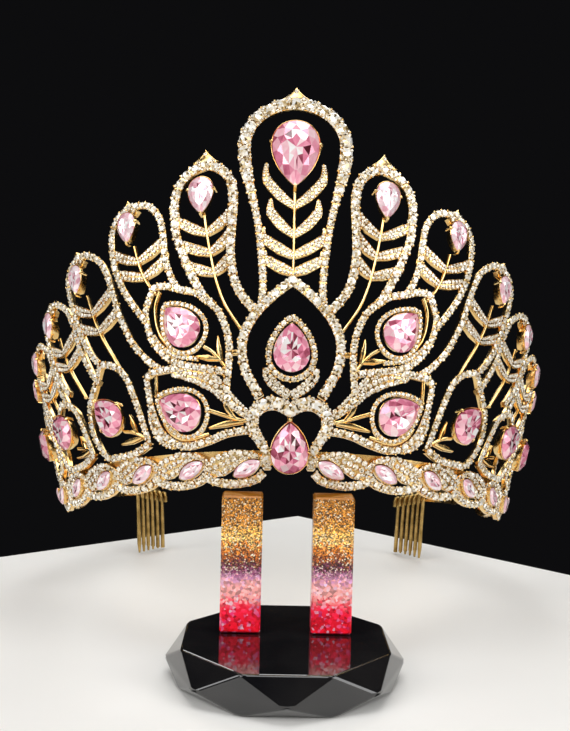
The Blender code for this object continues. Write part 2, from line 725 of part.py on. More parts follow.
def all_stones():
    """Every stone with its side of the crown and the maker of its outline."""
    stones = [(ONION_STONE, 0, "onion_stone"), (HEART_STONE, 0, "heart_stone"),
              (CENTRE_FEATHER.stone, 0, "feather_stone_centre")]
    feathers = [FIRST_FEATHER, SECOND_FEATHER, THIRD_FEATHER]
    feathers += [copied_feather(copy) for copy in FEATHER_COPIES]
    for side, word in ((-1, "left"), (1, "right")):
        for feather in feathers:
            stones.append((feather.stone, side, "feather_stone_%s_%s" % (feather.name, word)))
        stones.append((UPPER_EYE_STONE, side, "upper_eye_stone_%s" % word))
        stones.append((LOWER_EYE_STONE, side, "lower_eye_stone_%s" % word))
        for number in range(SIDE_COUNT):
            stones.append((side_stone(number), side, "side_stone_%d_%s" % (number + 1, word)))
        for number in range(SCALLOP_COUNT):
            stones.append((border_stone(number), side,
                           "border_stone_%d_%s" % (number + 1, word)))
    return stones


def make_band(material):
    """The plain strip behind the castings, from one comb round to the other; it is narrow
    in front and widens towards the combs."""
    count = round(2 * BAND_END / BAND_STEP)
    solid = bmesh.new()
    sections = []
    for k in range(count + 1):
        angle = -BAND_END + 2 * BAND_END * k / count
        outer = -BAND_BEHIND
        inner = outer - BAND_THICKNESS
        share = (abs(angle) - BAND_WIDENS[0]) / (BAND_WIDENS[1] - BAND_WIDENS[0])
        bottom = BAND_FRONT_BOTTOM + (BAND_BOTTOM - BAND_FRONT_BOTTOM) * min(max(share, 0.0), 1.0)
        sections.append([solid.verts.new(casting_point(angle, height, proud))
                         for height, proud in ((bottom, outer), (BAND_TOP, outer),
                                               (BAND_TOP, inner), (bottom, inner))])
    solid.faces.new(sections[0])
    solid.faces.new(list(reversed(sections[-1])))
    for first, second in zip(sections, sections[1:]):
        for k in range(4):
            after = (k + 1) % 4
            solid.faces.new([first[k], first[after], second[after], second[k]])
    return finish("band", solid, material)


def make_comb(name, side, material):
    """A comb of upright teeth under a bar, which stand on the table."""
    bar_start = COMB_START - TOOTH_WIDTH / 2 / mm_per_degree(0)
    bar_end = COMB_START + (COMB_TEETH - 1) * TOOTH_PITCH + TOOTH_WIDTH / 2 / mm_per_degree(0)
    bar = [Vector((bar_start, COMB_TOP - COMB_BAR)), Vector((bar_end, COMB_TOP - COMB_BAR)),
           Vector((bar_end, COMB_TOP)), Vector((bar_start, COMB_TOP))]
    shapes = [Shape(TOOTH_THICKNESS, [bar])]
    for number in range(COMB_TEETH):
        angle = COMB_START + TOOTH_PITCH * number
        half = TOOTH_WIDTH / 2 / mm_per_degree(0)
        tooth = [Vector((angle - half, COMB_TOP - COMB_REACH)),
                 Vector((angle + half, COMB_TOP - COMB_REACH)),
                 Vector((angle + half, COMB_TOP - 1)), Vector((angle - half, COMB_TOP - 1))]
        shapes.append(Shape(TOOTH_THICKNESS, [tooth]))

    def place(angle, height, proud):
        """The teeth hang straight down, lean inward, and are cut level with the table."""
        drop = COMB_TOP - height
        inward = radius_at(COMB_TOP) - radius_at(BAND_BOTTOM) + COMB_LEAN * drop
        top = crown_point(side * angle, COMB_TOP, proud - inward)
        return Vector((top.x, top.y, max(top.z - MM * drop, 0.0)))

    solid = raised_plate(shapes, place, back=-COMB_BEHIND - TOOTH_THICKNESS)
    return finish(name, solid, material)


def make_foot(material):
    """The faceted octagonal foot: flat top and sole, with a wider girdle between."""
    solid = bmesh.new()
    rings = []
    for radius, height, turn in ((FOOT_SOLE_RADIUS, 0, 0.5),
                                 (FOOT_GIRDLE_RADIUS, FOOT_GIRDLE_HEIGHT, 0),
                                 (FOOT_TOP_RADIUS, FOOT_HEIGHT, 0.5)):
        rings.append([solid.verts.new(MM * Vector((radius * cos((k + turn) * pi / 4),
                                                   radius * sin((k + turn) * pi / 4), height)))
                      for k in range(8)])
    sole, girdle, top = rings
    solid.faces.new(list(reversed(sole)))
    solid.faces.new(top)
    for k in range(8):
        after = (k + 1) % 8
        for ring in (sole, top):
            solid.faces.new([girdle[k], girdle[after], ring[k]])
            solid.faces.new([girdle[after], ring[after], ring[k]])
    return finish("stand_base", solid, material)


def make_post(name, side, material):
    """A resin block that stands on the foot and carries the front of the crown."""
    bottom = FOOT_HEIGHT + GAP
    solid = bmesh.new()
    size = Vector((POST_WIDTH, POST_DEPTH, POST_TOP - bottom)) * MM
    bmesh.ops.create_cube(solid, size=1, matrix=Matrix.Diagonal((*size, 1)))
    bmesh.ops.bevel(solid, geom=solid.edges[:], offset=POST_BEVEL * MM, segments=1,
                    affect="EDGES")
    centre = MM * Vector((side * POST_CENTRE_X, POST_CENTRE_Y, (POST_TOP + bottom) / 2))
    bmesh.ops.translate(solid, verts=solid.verts, vec=centre)
    return finish(name, solid, material)


def build():
    """Clear the scene and make every piece."""
    for old in list(bpy.data.objects):
        bpy.data.objects.remove(old)
    gold = make_material("cast_gold", (0.87, 0.62, 0.27), 0.24, 1)
    band_gold = make_material("band_gold", (0.83, 0.57, 0.22), 0.3, 1)
    brass = make_material("comb_brass", (0.55, 0.37, 0.13), 0.38, 1)
    pink = make_material("pink_crystal", (0.93, 0.55, 0.66), 0.05, 0)
    black = make_material("black_resin", (0.01, 0.01, 0.012), 0.06, 0)
    glitter = make_material("glitter_resin", (0.72, 0.33, 0.2), 0.35, 0)

    finish("centre_panel", raised_plate(centre_shapes(), casting_point), gold)
    finish("right_panel", raised_plate(side_shapes(), casting_point), gold)
    finish("left_panel", raised_plate(mirrored(side_shapes()), casting_point), gold)
    make_band(band_gold)
    for stone, side, name in all_stones():
        make = marquise_outline if name.startswith("border") else pear_outline
        depth = SEAT_DEPTH if stone in HALOED_STONES else TRACK_DEPTH
        cut_stone(stone._replace(name=name), pink, side or 1, depth, make)
    for side, word in ((-1, "left"), (1, "right")):
        make_comb("comb_%s" % word, side, brass)
        make_post("stand_post_%s" % word, side, glitter)
    make_foot(black)


build()
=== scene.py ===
"""The looks of a crystal crown on its display stand: gilt castings set with small crystals,
pink pear stones, wire combs, and a black faceted foot with two glitter resin posts."""

from collections import namedtuple
from math import ceil, cos, hypot, pi, radians, sin
from random import Random

import bmesh
import bpy
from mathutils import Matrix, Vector


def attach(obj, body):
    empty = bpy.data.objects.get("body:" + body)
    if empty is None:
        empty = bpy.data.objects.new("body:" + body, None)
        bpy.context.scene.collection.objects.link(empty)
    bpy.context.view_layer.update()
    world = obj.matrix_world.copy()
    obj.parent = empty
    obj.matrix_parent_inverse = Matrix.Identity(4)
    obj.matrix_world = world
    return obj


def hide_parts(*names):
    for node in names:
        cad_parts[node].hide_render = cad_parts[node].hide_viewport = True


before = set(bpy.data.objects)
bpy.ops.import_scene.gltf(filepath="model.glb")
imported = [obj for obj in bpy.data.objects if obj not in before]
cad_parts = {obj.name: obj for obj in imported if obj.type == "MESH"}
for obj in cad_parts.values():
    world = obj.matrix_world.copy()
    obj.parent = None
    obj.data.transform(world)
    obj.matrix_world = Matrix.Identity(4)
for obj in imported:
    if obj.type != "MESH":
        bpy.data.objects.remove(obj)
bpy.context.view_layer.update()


# The centre casting: the tall feather, two feathers on each side, the onion arch, the heart
# and the eye frames. It is cast in a light gilt alloy as open channels, soldered where they
# meet, and the channels are filled with a close row of small round crystals held by beads.

MM = 0.001

BAND_RADIUS = 80.0
FLARE = 0.332
CURL = 0.00138
CROWN_TILT = radians(21.6)
CROWN_BACK = 82.8
CROWN_LIFT = 35.5
RISE_START = 70.0
RISE_PER_DEGREE = 0.26

FINE_STEP = 0.55
TRACK_WIDTH = 2.5
CENTRE_LOOP_WIDTHS = (4.2, 4.2, 4.2, TRACK_WIDTH, TRACK_WIDTH, TRACK_WIDTH)
FIRST_LOOP_WIDTHS = (3.3, 3.3, 3.3, 3.0, 3.0, 3.0)
ONION_WIDTH = 3.2
HEART_WIDTHS = (4.2, 4.2, 4.1, 3.6, 3.0, 2.6)
COLLAR_WIDTHS = (2.2, 3.4, 3.4, 2.8)
FIELD_WIDTHS = (2.6, 5.0, 6.0, 4.6, 3.6, 3.0)
UPPER_BED_WIDTHS = (1.4, 1.9, 2.1, 1.9, 1.4)
LOWER_BED_WIDTHS = (1.1, 1.7, 1.8, 1.7, 1.1)
CORNER_FIELD_WIDTHS = (1.6, 2.2, 2.6, 2.2, 1.6)
LINK_WIDTH = 1.6
TWIG_LEAF_WIDTHS = (1.1, 1.9, 0.6)
STEM_WIDTH = 1.1
LEAF_WIDTHS = (2.0, 3.3, 3.1, 0.6)
LEAF_BEND = ((0.56, 0.28), (1.0, 0.64))
TRACK_TOP = 2.5
SEAT_TOP = 1.5
GIRDLE_SHARE = 0.096
PEAR_TAPER = 0.62
MARQUISE_TAPER = 1.3
CUP_CORNERS = 36
CUP_RIM = 0.3
HALOED_RIM = -0.3
CLAW_PLACES = 72
CLAW_REACH = 0.75
FEATHER_CLAWS = (0.0, 0.3, 0.7)
PEAR_CLAWS = (0.0, 0.27, 0.73)
HALO_CORNERS = 60
HALO_WIDTH = 2.0
EYE_HALO_WIDTH = 1.6
HALO_GAPS = (1.2, 0.6)
HALO_LENGTHENING = 2.1
HALO_SECTION = ((0.2, 0.0), (0.14, 0.8), (0.14, 1.25), (0.24, 1.3), (0.3, 1.1), (0.7, 1.1),
                (0.76, 1.3), (0.86, 1.25), (0.82, 0.8), (0.7, 0.0))
TIP_HALF = 1.6
TIP_REACH = 5.4
TIP_EDGE = ((0.6, 0.9), (1.3, 1.8), (2.4, 2.9), (4.1, 4.1))
TIP_SECTION = ((1, 0.0), (1, 1.3), (0.9, 1.5), (0.8, 1.35))
TIP_STONES = ((0, 3.4, 1.15), (0, 1.5, 0.62), (-2.1, 3.9, 0.7), (2.1, 3.9, 0.7))
TIP_STONE_LIFT = 1.55

STONE_LIFT = 1.45
LEAF_STONE_LIFT = 1.2
PAVE_SIZE = 1.95
CROWDING = 0.8
ROW_STEP = 0.97
FILLER_RADII = (0.85, 0.62, 0.45)
BEAD_RADIUS = 0.33
BEADED_WIDTH = 1.3
# A crystal's table ring, point and table, in shares of its radius.
TABLE_RING = (0.62, 0.42)
POINT_DEPTH = 0.45
TABLE_HEIGHT = 0.47
SCATTER = Random(11)
SIDES = ((-1, "left"), (1, "right"))


def both_sides(*half):
    """A section from one foot to the other: side, distance in from the edge, depth."""
    return ([(-1, inset, depth) for inset, depth in half]
            + [(1, inset, depth) for inset, depth in reversed(half)])


CHANNEL = both_sides((0.44, 0.0), (0.3, 0.7), (0.28, 1.2), (0.38, 1.32), (0.5, 1.1))
# A leaf is a low open tray with a clear rim.
TRAY = both_sides((0.08, 0.0), (0.02, 0.7), (0.06, 1.05), (0.16, 1.12), (0.28, 0.9))
# A stem is a half-round wire with a shallow groove down the middle.
WIRE = both_sides((0.1, 0.0), (0.0, 0.45), (0.1, 0.85), (0.28, 1.12), (0.44, 1.18))

Stone = namedtuple("Stone", "name angle height length width lean")
Barb = namedtuple("Barb", "root near_tip far_tip")
Feather = namedtuple("Feather", "tip near far stem barbs stone")

# Places on the crown are (degrees round from the front, millimetres up from the base line).
CENTRE_EDGE = [(0, 99.2), (-3.2, 98), (-6.2, 95), (-8.2, 90.4), (-8.8, 85), (-8.3, 77),
               (-6.3, 61), (-5.4, 45.5), (-5.6, 38)]
CENTRE_FEATHER = Feather(
    (0, 104.5), near=CENTRE_EDGE, far=[(-a, h) for a, h in CENTRE_EDGE],
    stem=[(0, 74), (0, 46)],
    barbs=[Barb(66.5, (-4.9, 80), (4.9, 80)), Barb(58, (-4.1, 69), (4.1, 69)),
           Barb(52, (-5.3, 60.5), (5.3, 60.5)), Barb(47, (-5, 53.5), (5, 53.5))],
    stone=Stone("feather_stone_centre", 0, 81.8, 20.4, 13.9, 180))
FIRST_FEATHER = Feather(
    (15.7, 85.3),
    near=[(15.7, 80.4), (13.4, 79), (11.4, 75.6), (10.7, 70), (11, 61), (11.2, 53), (10.6, 45.5),
          (9.2, 40.5), (6.8, 36)],
    far=[(15.7, 80.4), (18.2, 78.9), (20.4, 75.4), (21.4, 70.6), (21.5, 66), (21.3, 60),
         (20, 53.5), (18.7, 48), (16.4, 40.6)],
    stem=[(16, 66), (15.5, 59), (14.8, 52), (13.9, 45), (12.3, 38), (9.5, 31)],
    barbs=[Barb(59.5, (11.2, 69), (20.8, 66.8)), Barb(53.5, (11.4, 62), (21, 59.6)),
           Barb(47.5, (11.4, 55), (20, 52.8))],
    stone=Stone("feather_stone_first", 16.2, 70.3, 11.2, 7.7, 180))
SECOND_FEATHER = Feather(
    (31.3, 73.7),
    near=[(31, 71.5), (27, 70.5), (24.6, 66), (23.9, 60), (23.6, 53), (22.3, 46.5), (21, 43.5)],
    far=[(31, 71.5), (33.5, 69), (35, 65), (35.3, 60), (34.8, 53.5), (33.3, 47), (31, 41),
         (28.4, 35.5)],
    stem=[(30.3, 59), (29.3, 52.5), (27.8, 47), (26, 43.5)],
    barbs=[Barb(54, (24, 62.5), (35, 60.5)), Barb(49, (23.6, 56.5), (34.4, 53.5))],
    stone=Stone("feather_stone_second", 31.0, 64.4, 9.5, 6.6, 180))

ONION_STONE = Stone("onion_stone", 0, 25.4, 14, 10.5, 0)
HEART_STONE = Stone("heart_stone", 0, -2.4, 14.3, 10.6, 0)
UPPER_EYE_STONE = Stone("upper_eye_stone", 21, 33, 13.5, 11, 37)
LOWER_EYE_STONE = Stone("lower_eye_stone", 22.3, 9, 14, 11, 60)

ONION_TRACK = [(0, 44.6), (3.3, 40.6), (6.6, 35.4), (8.7, 30), (9.3, 25), (8.8, 19.7), (7.4, 15.4),
               (6, 11.8)]
HEART_TRACK = [(0, 8.2), (2.4, 9.9), (4.9, 9.8), (6.9, 7.8), (7.5, 5), (7, 2), (5.6, -1.2),
               (4.7, -3.8), (4.6, -8)]
HEART_CUSP = [(0, 7.5), (0, 5.2)]
ONION_COLLAR = [(4.9, 20), (4.4, 17.4), (3.2, 15.2), (1.5, 13.3), (0, 12.2)]
UPPER_EYE_TRACK = [(16.8, 40.8), (14, 37), (12.4, 32), (11.7, 26), (12, 20), (12.5, 14),
                   (12, 10.5), (9.1, 7.2)]
UPPER_EYE_TOP = [(14.6, 38.5), (17.6, 41.9), (20.3, 43.2), (23.6, 45), (26.2, 45), (27.2, 42.5),
                 (28.3, 38), (27.8, 32), (26.5, 28), (24, 24), (20.5, 21.5), (12.5, 19)]
UPPER_EYE_LINK = [(9.0, 24.5), (12, 24.5)]
UPPER_TWIG = [(12.4, 19.6), (13.7, 22.6), (15.2, 25), (16.8, 26.6)]
UPPER_TWIG_LEAF = [(13.3, 22), (13.7, 25.4), (13.9, 29.4)]
UPPER_TWIG_BUD = [(13.8, 22.8), (15.8, 23.3), (18.4, 24)]
LOWER_EYE_TRACK = [(20.5, 21), (25.9, 20.8), (29, 19.8), (29.2, 14), (28.7, 9), (27.4, 4),
                   (24.6, 0.2), (21.5, -1.1), (17, 0), (13, 1.8), (9.2, 2.6), (6.8, 2.4)]
LOWER_EYE_FIELD = [(23.5, 19.9), (19, 18.9), (15.5, 16.4), (12.8, 12.4), (10.2, 8.8), (8.3, 6.8)]
LOWER_TWIG = [(8, 5.2), (10.6, 5.9), (13.6, 7.3), (16.2, 8.6)]
LOWER_TWIG_LEAF = [(10.9, 5.9), (12.5, 8.8), (13.5, 12.4)]
LOWER_TWIG_BUD = [(9.4, 5.1), (12.6, 4.8), (16.6, 3.8)]
UPPER_BAR = [(25.2, 43.8), (26.3, 40), (26.4, 35.4), (25.7, 31.2), (24.3, 28)]
THIRD_FOOT = [(29.95, 26.25), (28.3, 23.7), (26, 21)]
LOWER_BAR = [(27.4, 19.6), (27.7, 14), (27.2, 9.4), (25.8, 5.6), (23.8, 3)]
UPPER_BED = [(26.9, 31.2), (25.6, 28), (23.4, 25.4), (20.8, 24), (18, 23)]
LOWER_BED = [(26.6, 6), (25.1, 3.1), (22.8, 1.3), (20, 1.1), (16.6, 2.1)]
CORNER_FIELD = [(29.5, 10), (29.2, 6.4), (28.4, 3), (26.8, 0.4), (24.6, -1)]
# Each channel of the centre with its widths and its rows of stones, where 0 is a filled field.
CENTRE_CHANNELS = (
    (UPPER_EYE_TRACK, (TRACK_WIDTH,), 1), (UPPER_EYE_TOP, (TRACK_WIDTH,), 1),
    (LOWER_EYE_TRACK, (TRACK_WIDTH,), 1), (THIRD_FOOT, (TRACK_WIDTH,), 1),
    (LOWER_EYE_FIELD, FIELD_WIDTHS, 0), (UPPER_BED, UPPER_BED_WIDTHS, 1),
    (CORNER_FIELD, CORNER_FIELD_WIDTHS, 1), (ONION_COLLAR, COLLAR_WIDTHS, 0))
CENTRE_WIRES = (
    (LOWER_BED, LOWER_BED_WIDTHS), (UPPER_EYE_LINK, (LINK_WIDTH,)),
    (UPPER_TWIG, (STEM_WIDTH,)), (LOWER_TWIG, (STEM_WIDTH,)), (UPPER_BAR, (STEM_WIDTH,)),
    (LOWER_BAR, (STEM_WIDTH,)), (UPPER_TWIG_LEAF, TWIG_LEAF_WIDTHS),
    (UPPER_TWIG_BUD, TWIG_LEAF_WIDTHS), (LOWER_TWIG_LEAF, TWIG_LEAF_WIDTHS),
    (LOWER_TWIG_BUD, TWIG_LEAF_WIDTHS))

SCALLOP_START = 5.9
SCALLOP_PITCH = 12.1
SCALLOP_ARC = ((-0.6, -8.8), (1.5, -10.9), (6.1, -11.9), (10.6, -10.9), (12.1, -8.8))
SCALLOP_LEAF = ((-0.8, -6.6), (2, -4.3), (5.4, -5), (8.7, -6.7), (12.1, -8.3))
SCALLOP_WIDTH = 2.7
SCALLOP_LEAF_WIDTHS = (2.4, 2.8, 5.4, 6.6, 4.3)
SEAM_SCALLOP = 2
SCALLOP_COUNT = 8
# The marquise of a scallop, its angle counted from where the scallop starts.
MARQUISE = Stone("border_stone", 2.8, -8.0, 8.6, 4.2, 118.0)


def radius_at(height):
    """Radius of the crown's surface at a height."""
    return BAND_RADIUS + FLARE * height - CURL * height * height


def mm_per_degree(height):
    """Length of one degree round the crown at a height."""
    return radius_at(height) * pi / 180


def crown_point(angle, height, proud, lift=0.0):
    """World place of a point on the crown, standing proud of its surface."""
    radius = radius_at(height) + proud
    turn = radians(angle)
    back = -radius * cos(turn)
    up = height + lift
    return MM * Vector((radius * sin(turn),
                        back * cos(CROWN_TILT) + up * sin(CROWN_TILT) + CROWN_BACK,
                        -back * sin(CROWN_TILT) + up * cos(CROWN_TILT) + CROWN_LIFT))


def casting_point(angle, height, proud):
    """World place of a point on a casting, whose rim sweeps up towards the combs."""
    lift = RISE_PER_DEGREE * max(0.0, abs(angle) - RISE_START)
    return crown_point(angle, height, proud, lift)


def casting_axes(angle, height):
    """Directions across, up and out of the crown at a place on it."""
    here = casting_point(angle, height, 0)
    up = (casting_point(angle, height + 1, 0) - here).normalized()
    out = (casting_point(angle + 1, height, 0) - here).cross(up).normalized()
    return up.cross(out).normalized(), up, out


def smooth_route(points, step=FINE_STEP):
    """Close, even points along a smooth curve through the given ones."""
    ends = [points[0]] + list(points) + [points[-1]]
    route = []
    for k in range(1, len(ends) - 2):
        a, b, c, d = (Vector(ends[k + j]) for j in (-1, 0, 1, 2))
        pieces = max(1, ceil(hypot((c.x - b.x) * mm_per_degree(b.y), c.y - b.y) / step))
        for j in range(pieces):
            t = j / pieces
            route.append(0.5 * (2 * b + (c - a) * t + (2 * a - 5 * b + 4 * c - d) * t ** 2
                                + (3 * b - a - 3 * c + d) * t ** 3))
    route.append(Vector(points[-1]))
    return route


def spread(widths, share):
    """A width read a share of the way along an even list of them."""
    place = share * (len(widths) - 1)
    low = min(int(place), len(widths) - 1)
    high = min(low + 1, len(widths) - 1)
    return widths[low] + (widths[high] - widths[low]) * (place - low)


def sideways(route, k):
    """The (angle, height) step of one millimetre to the left of a route at its point k."""
    before, after = route[max(k - 1, 0)], route[min(k + 1, len(route) - 1)]
    scale = mm_per_degree(route[k].y)
    along = Vector(((after.x - before.x) * scale, after.y - before.y)).normalized()
    return Vector((-along.y / scale, along.x))


def new_object(name, data):
    """An object in the scene, from its mesh, lamp or camera."""
    made = bpy.data.objects.new(name, data)
    bpy.context.scene.collection.objects.link(made)
    return made


class Bench:
    """Gathers the corners and faces of one piece, with a painted glint for each face: a share that
    picks the face's painted reflection colour.
    """

    def __init__(self):
        self.corners, self.faces, self.painted_glints = [], [], []

    def add(self, corners, faces, painted_glints=None):
        """Add corners, and faces that count from the first of them."""
        start = len(self.corners)
        self.corners += corners
        self.faces += [[start + k for k in face] for face in faces]
        self.painted_glints += painted_glints or [0.5] * len(faces)

    def make(self, name, material, sharp=35):
        """Turn what is on the bench into an object."""
        mesh = bpy.data.meshes.new(name)
        mesh.from_pydata(self.corners, [], self.faces)
        # Each face keeps its painted glint, which the crystal materials turn into a painted
        # reflection colour.
        painted_glint = mesh.attributes.new("painted_glint", "FLOAT", "FACE")
        painted_glint.data.foreach_set("value", self.painted_glints)
        mesh.materials.append(material)
        mesh.shade_smooth()
        mesh.set_sharp_from_angle(angle=radians(sharp))
        mesh.update()
        return new_object(name, mesh)


def skin(loops, count, turned_over=False, closed=False):
    """Faces over loops of corners that follow one another, and over both ends unless the last
    loop meets the first."""
    faces = []
    for k in range(loops if closed else loops - 1):
        here, ahead = k * count, (k + 1) % loops * count
        for j in range(count):
            after = (j + 1) % count
            wall = [here + j, ahead + j, ahead + after, here + after]
            faces.append([wall[0]] + wall[:0:-1] if turned_over else wall)
    if not closed:
        last = (loops - 1) * count
        ends = [list(range(count)), [last + j for j in reversed(range(count))]]
        faces += [end[::-1] if turned_over else end for end in ends]
    return faces


def sweep(bench, route, widths, section):
    """Draw a section along a route on the crown."""
    corners = []
    for k, place in enumerate(route):
        width = spread(widths, k / (len(route) - 1))
        side_step = sideways(route, k)
        for side, inset, depth in section:
            spot = place + side_step * side * max(width / 2 - inset, 0.02)
            corners.append(casting_point(*spot, depth))
    bench.add(corners, skin(len(route), len(section)))


class Setting:
    """The small crystals and beads of one casting, with a map of where stones already are."""

    def __init__(self):
        self.crystals = Bench()
        self.beads = Bench()
        self.taken = {}
        self.routes = []

    def room_for(self, angle, height, radius):
        """True where a stone would not crowd one that is set; marks the place if so."""
        x, y = angle * mm_per_degree(height), height
        cell = (int(x // 3), int(y // 3))
        for i in (-1, 0, 1):
            for j in (-1, 0, 1):
                for other_x, other_y, other in self.taken.get((cell[0] + i, cell[1] + j), ()):
                    if hypot(x - other_x, y - other_y) < CROWDING * (radius + other):
                        return False
        self.taken.setdefault(cell, []).append((x, y, radius))
        return True

    def stone(self, angle, height, radius, lift=STONE_LIFT):
        """One round crystal: a table, two rings of facets and a point below."""
        if not self.room_for(angle, height, radius):
            return
        across, up, out = casting_axes(angle, height)
        tip = SCATTER.uniform(0, 2 * pi)
        tilt = SCATTER.uniform(0.02, 0.16)
        out = (out + (across * cos(tip) + up * sin(tip)) * tilt).normalized()
        across = up.cross(out).normalized()
        up = out.cross(across)
        centre = casting_point(angle, height, lift)
        turn = SCATTER.uniform(0, pi / 4)

        def at(share, step, proud):
            bearing = turn + step * pi / 4
            return centre + MM * radius * (across * cos(bearing) * share
                                           + up * sin(bearing) * share + out * proud)

        corners = [at(1, k, 0) for k in range(8)]
        corners += [at(TABLE_RING[0], k + 0.5, TABLE_RING[1]) for k in range(8)]
        corners += [centre - out * MM * radius * POINT_DEPTH,
                    centre + out * MM * radius * TABLE_HEIGHT]
        faces = []
        for k in range(8):
            after = (k + 1) % 8
            faces += [[k, after, 8 + k], [after, 8 + after, 8 + k], [8 + k, 8 + after, 17],
                      [after, k, 16]]
        # Each facet gets a random painted glint: its painted reflection, from dark to white.
        painted_glints = [SCATTER.random() for _ in faces]
        self.crystals.add(corners, faces, painted_glints)

    def bead(self, angle, height, radius=BEAD_RADIUS, depth=1.5):
        """One bead of metal that holds the stones on either side of it."""
        across, up, out = casting_axes(angle, height)
        centre = casting_point(angle, height, depth)
        corners = []
        for share, proud in ((1, 0), (0.72, 0.66)):
            corners += [centre + MM * radius * (across * cos(k * pi / 3) * share
                                                + up * sin(k * pi / 3) * share + out * proud)
                        for k in range(6)]
        corners.append(centre + MM * radius * out)
        faces = [[5, 4, 3, 2, 1, 0]]
        for k in range(6):
            after = (k + 1) % 6
            faces += [[k, after, 6 + after, 6 + k], [6 + k, 6 + after, 12]]
        self.beads.add(corners, faces)

    def row(self, route, widths, rows=1, margin=0.03, lift=STONE_LIFT, start=0.5):
        """Fill a channel with stones along its route, with beads between them; where rows is
        0, there are as many side by side as fit. The first comes start sizes along."""
        self.routes.append((route, widths, lift))
        lengths = [0.0]
        for a, b in zip(route, route[1:]):
            lengths.append(lengths[-1] + hypot((b.x - a.x) * mm_per_degree(a.y), b.y - a.y))
        total = lengths[-1]
        travelled, k, number = 0.0, 0, 0
        while True:
            width = spread(widths, min(travelled / total, 1))
            lanes = rows or max(1, round(width / PAVE_SIZE))
            size = max((width - 2 * margin) / lanes, 0.7)
            if number == 0:
                travelled += size * start
            if travelled > total - size * 0.3:
                break
            while lengths[k + 1] < travelled and k < len(lengths) - 2:
                k += 1
            share = (travelled - lengths[k]) / max(lengths[k + 1] - lengths[k], 1e-6)
            place = route[k].lerp(route[k + 1], share)
            side_step = sideways(route, k)
            for lane in range(lanes):
                offset = (lane - (lanes - 1) / 2) * size
                spot = place + side_step * offset
                self.stone(spot.x, spot.y, size / 2 * SCATTER.uniform(0.88, 1.0), lift)
            ahead = route[min(k + 1, len(route) - 1)] - route[k]
            if ahead.length > 0 and lanes == 1 and width > BEADED_WIDTH:
                forward = Vector((side_step.y / mm_per_degree(place.y),
                                  -side_step.x * mm_per_degree(place.y))) * size / 2
                for side in (-1, 1):
                    spot = place + forward + side_step * side * (width / 2 - 0.3)
                    self.bead(spot.x, spot.y)
            travelled += size * ROW_STEP
            number += 1

    def fill(self):
        """Set small stones wherever the rows left bare metal."""
        for route, widths, lift in self.routes:
            for k in range(1, len(route) - 1):
                half = spread(widths, k / (len(route) - 1)) / 2
                side_step = sideways(route, k)
                for radius in FILLER_RADII:
                    reach = half - radius - 0.02
                    for share in (-1, -0.5, 0, 0.5, 1):
                        if reach > 0:
                            spot = route[k] + side_step * reach * share
                            self.stone(spot.x, spot.y, radius, lift)


def swell(turn):
    """How far a pear's outline is from its middle line, at a turn round it."""
    return sin(turn) * abs(sin(turn / 2)) ** PEAR_TAPER


def pear_outline(length, width, count):
    """A pear's outline in millimetres, its point up, its middle at the origin."""
    widest = max(swell(2 * pi * k / 360) for k in range(360))
    turns = [2 * pi * k / count for k in range(count)]
    return [(-width / 2 * swell(t) / widest, length / 2 * cos(t)) for t in turns]


def marquise_outline(length, width, count):
    """A marquise's outline in millimetres, one point up."""
    turns = [2 * pi * k / count for k in range(count)]
    return [(-width / 2 * abs(sin(t)) ** MARQUISE_TAPER * (1 if sin(t) >= 0 else -1),
             length / 2 * cos(t)) for t in turns]


def laid_down(outline, stone):
    """An outline in millimetres, leaned and moved to its stone's place on the crown."""
    lean = radians(stone.lean)
    scale = mm_per_degree(stone.height)
    return [Vector((stone.angle + (x * cos(lean) + y * sin(lean)) / scale,
                    stone.height - x * sin(lean) + y * cos(lean))) for x, y in outline]


def cup(bench, stone, make, top, rim):
    """The metal cup behind a stone: it narrows to the back, and its rim folds onto the girdle
    where it is wider than the stone."""
    wide, corners = stone.width, []
    section = ((-0.3 * wide, 0.0), (-0.06 * wide, 0.5 * top), (rim - 0.02, top - 0.3),
               (rim, top), (rim - 0.2, top + 0.06), (-0.12 * wide, top - 0.7),
               (-0.34 * wide, 0.3))
    for grown, depth in section:
        outline = laid_down(make(stone.length + grown, wide + grown, CUP_CORNERS), stone)
        corners += [casting_point(*spot, depth) for spot in outline]
    bench.add(corners, skin(len(section), CUP_CORNERS, turned_over=True))


def claw(bench, stone, make, share, top):
    """One claw over a stone's girdle, a share of the way round its outline."""
    outline = make(stone.length + 0.7, stone.width + 0.7, CLAW_PLACES)
    spot = laid_down([outline[int(share * CLAW_PLACES)]], stone)[0]
    scale = mm_per_degree(stone.height)
    inward = Vector(((stone.angle - spot.x) * scale, stone.height - spot.y)).normalized()
    inward = Vector((inward.x / scale, inward.y))
    across = Vector((-inward.y / scale, inward.x * scale))
    corners = []
    # Each line across the claw, outside and then inside: reach, depth, half width and ridge.
    for reach, depth, half, ridge in (
            (-0.2, 1.2, 0.42, 0.14), (-0.2, top - 0.5, 0.42, 0.14), (0.25, top, 0.36, 0.14),
            (CLAW_REACH, top + 0.02, 0.16, 0.14), (0.2, 1.2, 0.42, 0), (0.2, top - 0.7, 0.42, 0),
            (0.45, top - 0.25, 0.36, 0), (CLAW_REACH, top - 0.12, 0.16, 0)):
        for side in (-1, 0, 1):
            edge = spot + inward * reach + across * side * half
            corners.append(casting_point(*edge, depth + (0 if side else ridge)))
    faces = []
    for k in (0, 3, 6):
        for a in (k, k + 1):
            faces += [[a, a + 3, a + 4, a + 1], [a + 12, a + 13, a + 16, a + 15]]
        faces += [[k, k + 12, k + 15, k + 3], [k + 2, k + 5, k + 17, k + 14]]
    bench.add(corners, faces + [[9, 21, 22, 10], [10, 22, 23, 11]])


def mount(bench, stone, make, base, claws=(), rim=CUP_RIM):
    """The cup for a stone whose girdle sits above the base depth, and its claws."""
    girdle = base + GIRDLE_SHARE * stone.width
    cup(bench, stone, make, girdle - (0.1 if rim > 0 else 0.3), rim)
    for share in claws:
        claw(bench, stone, make, share, girdle + 0.35)


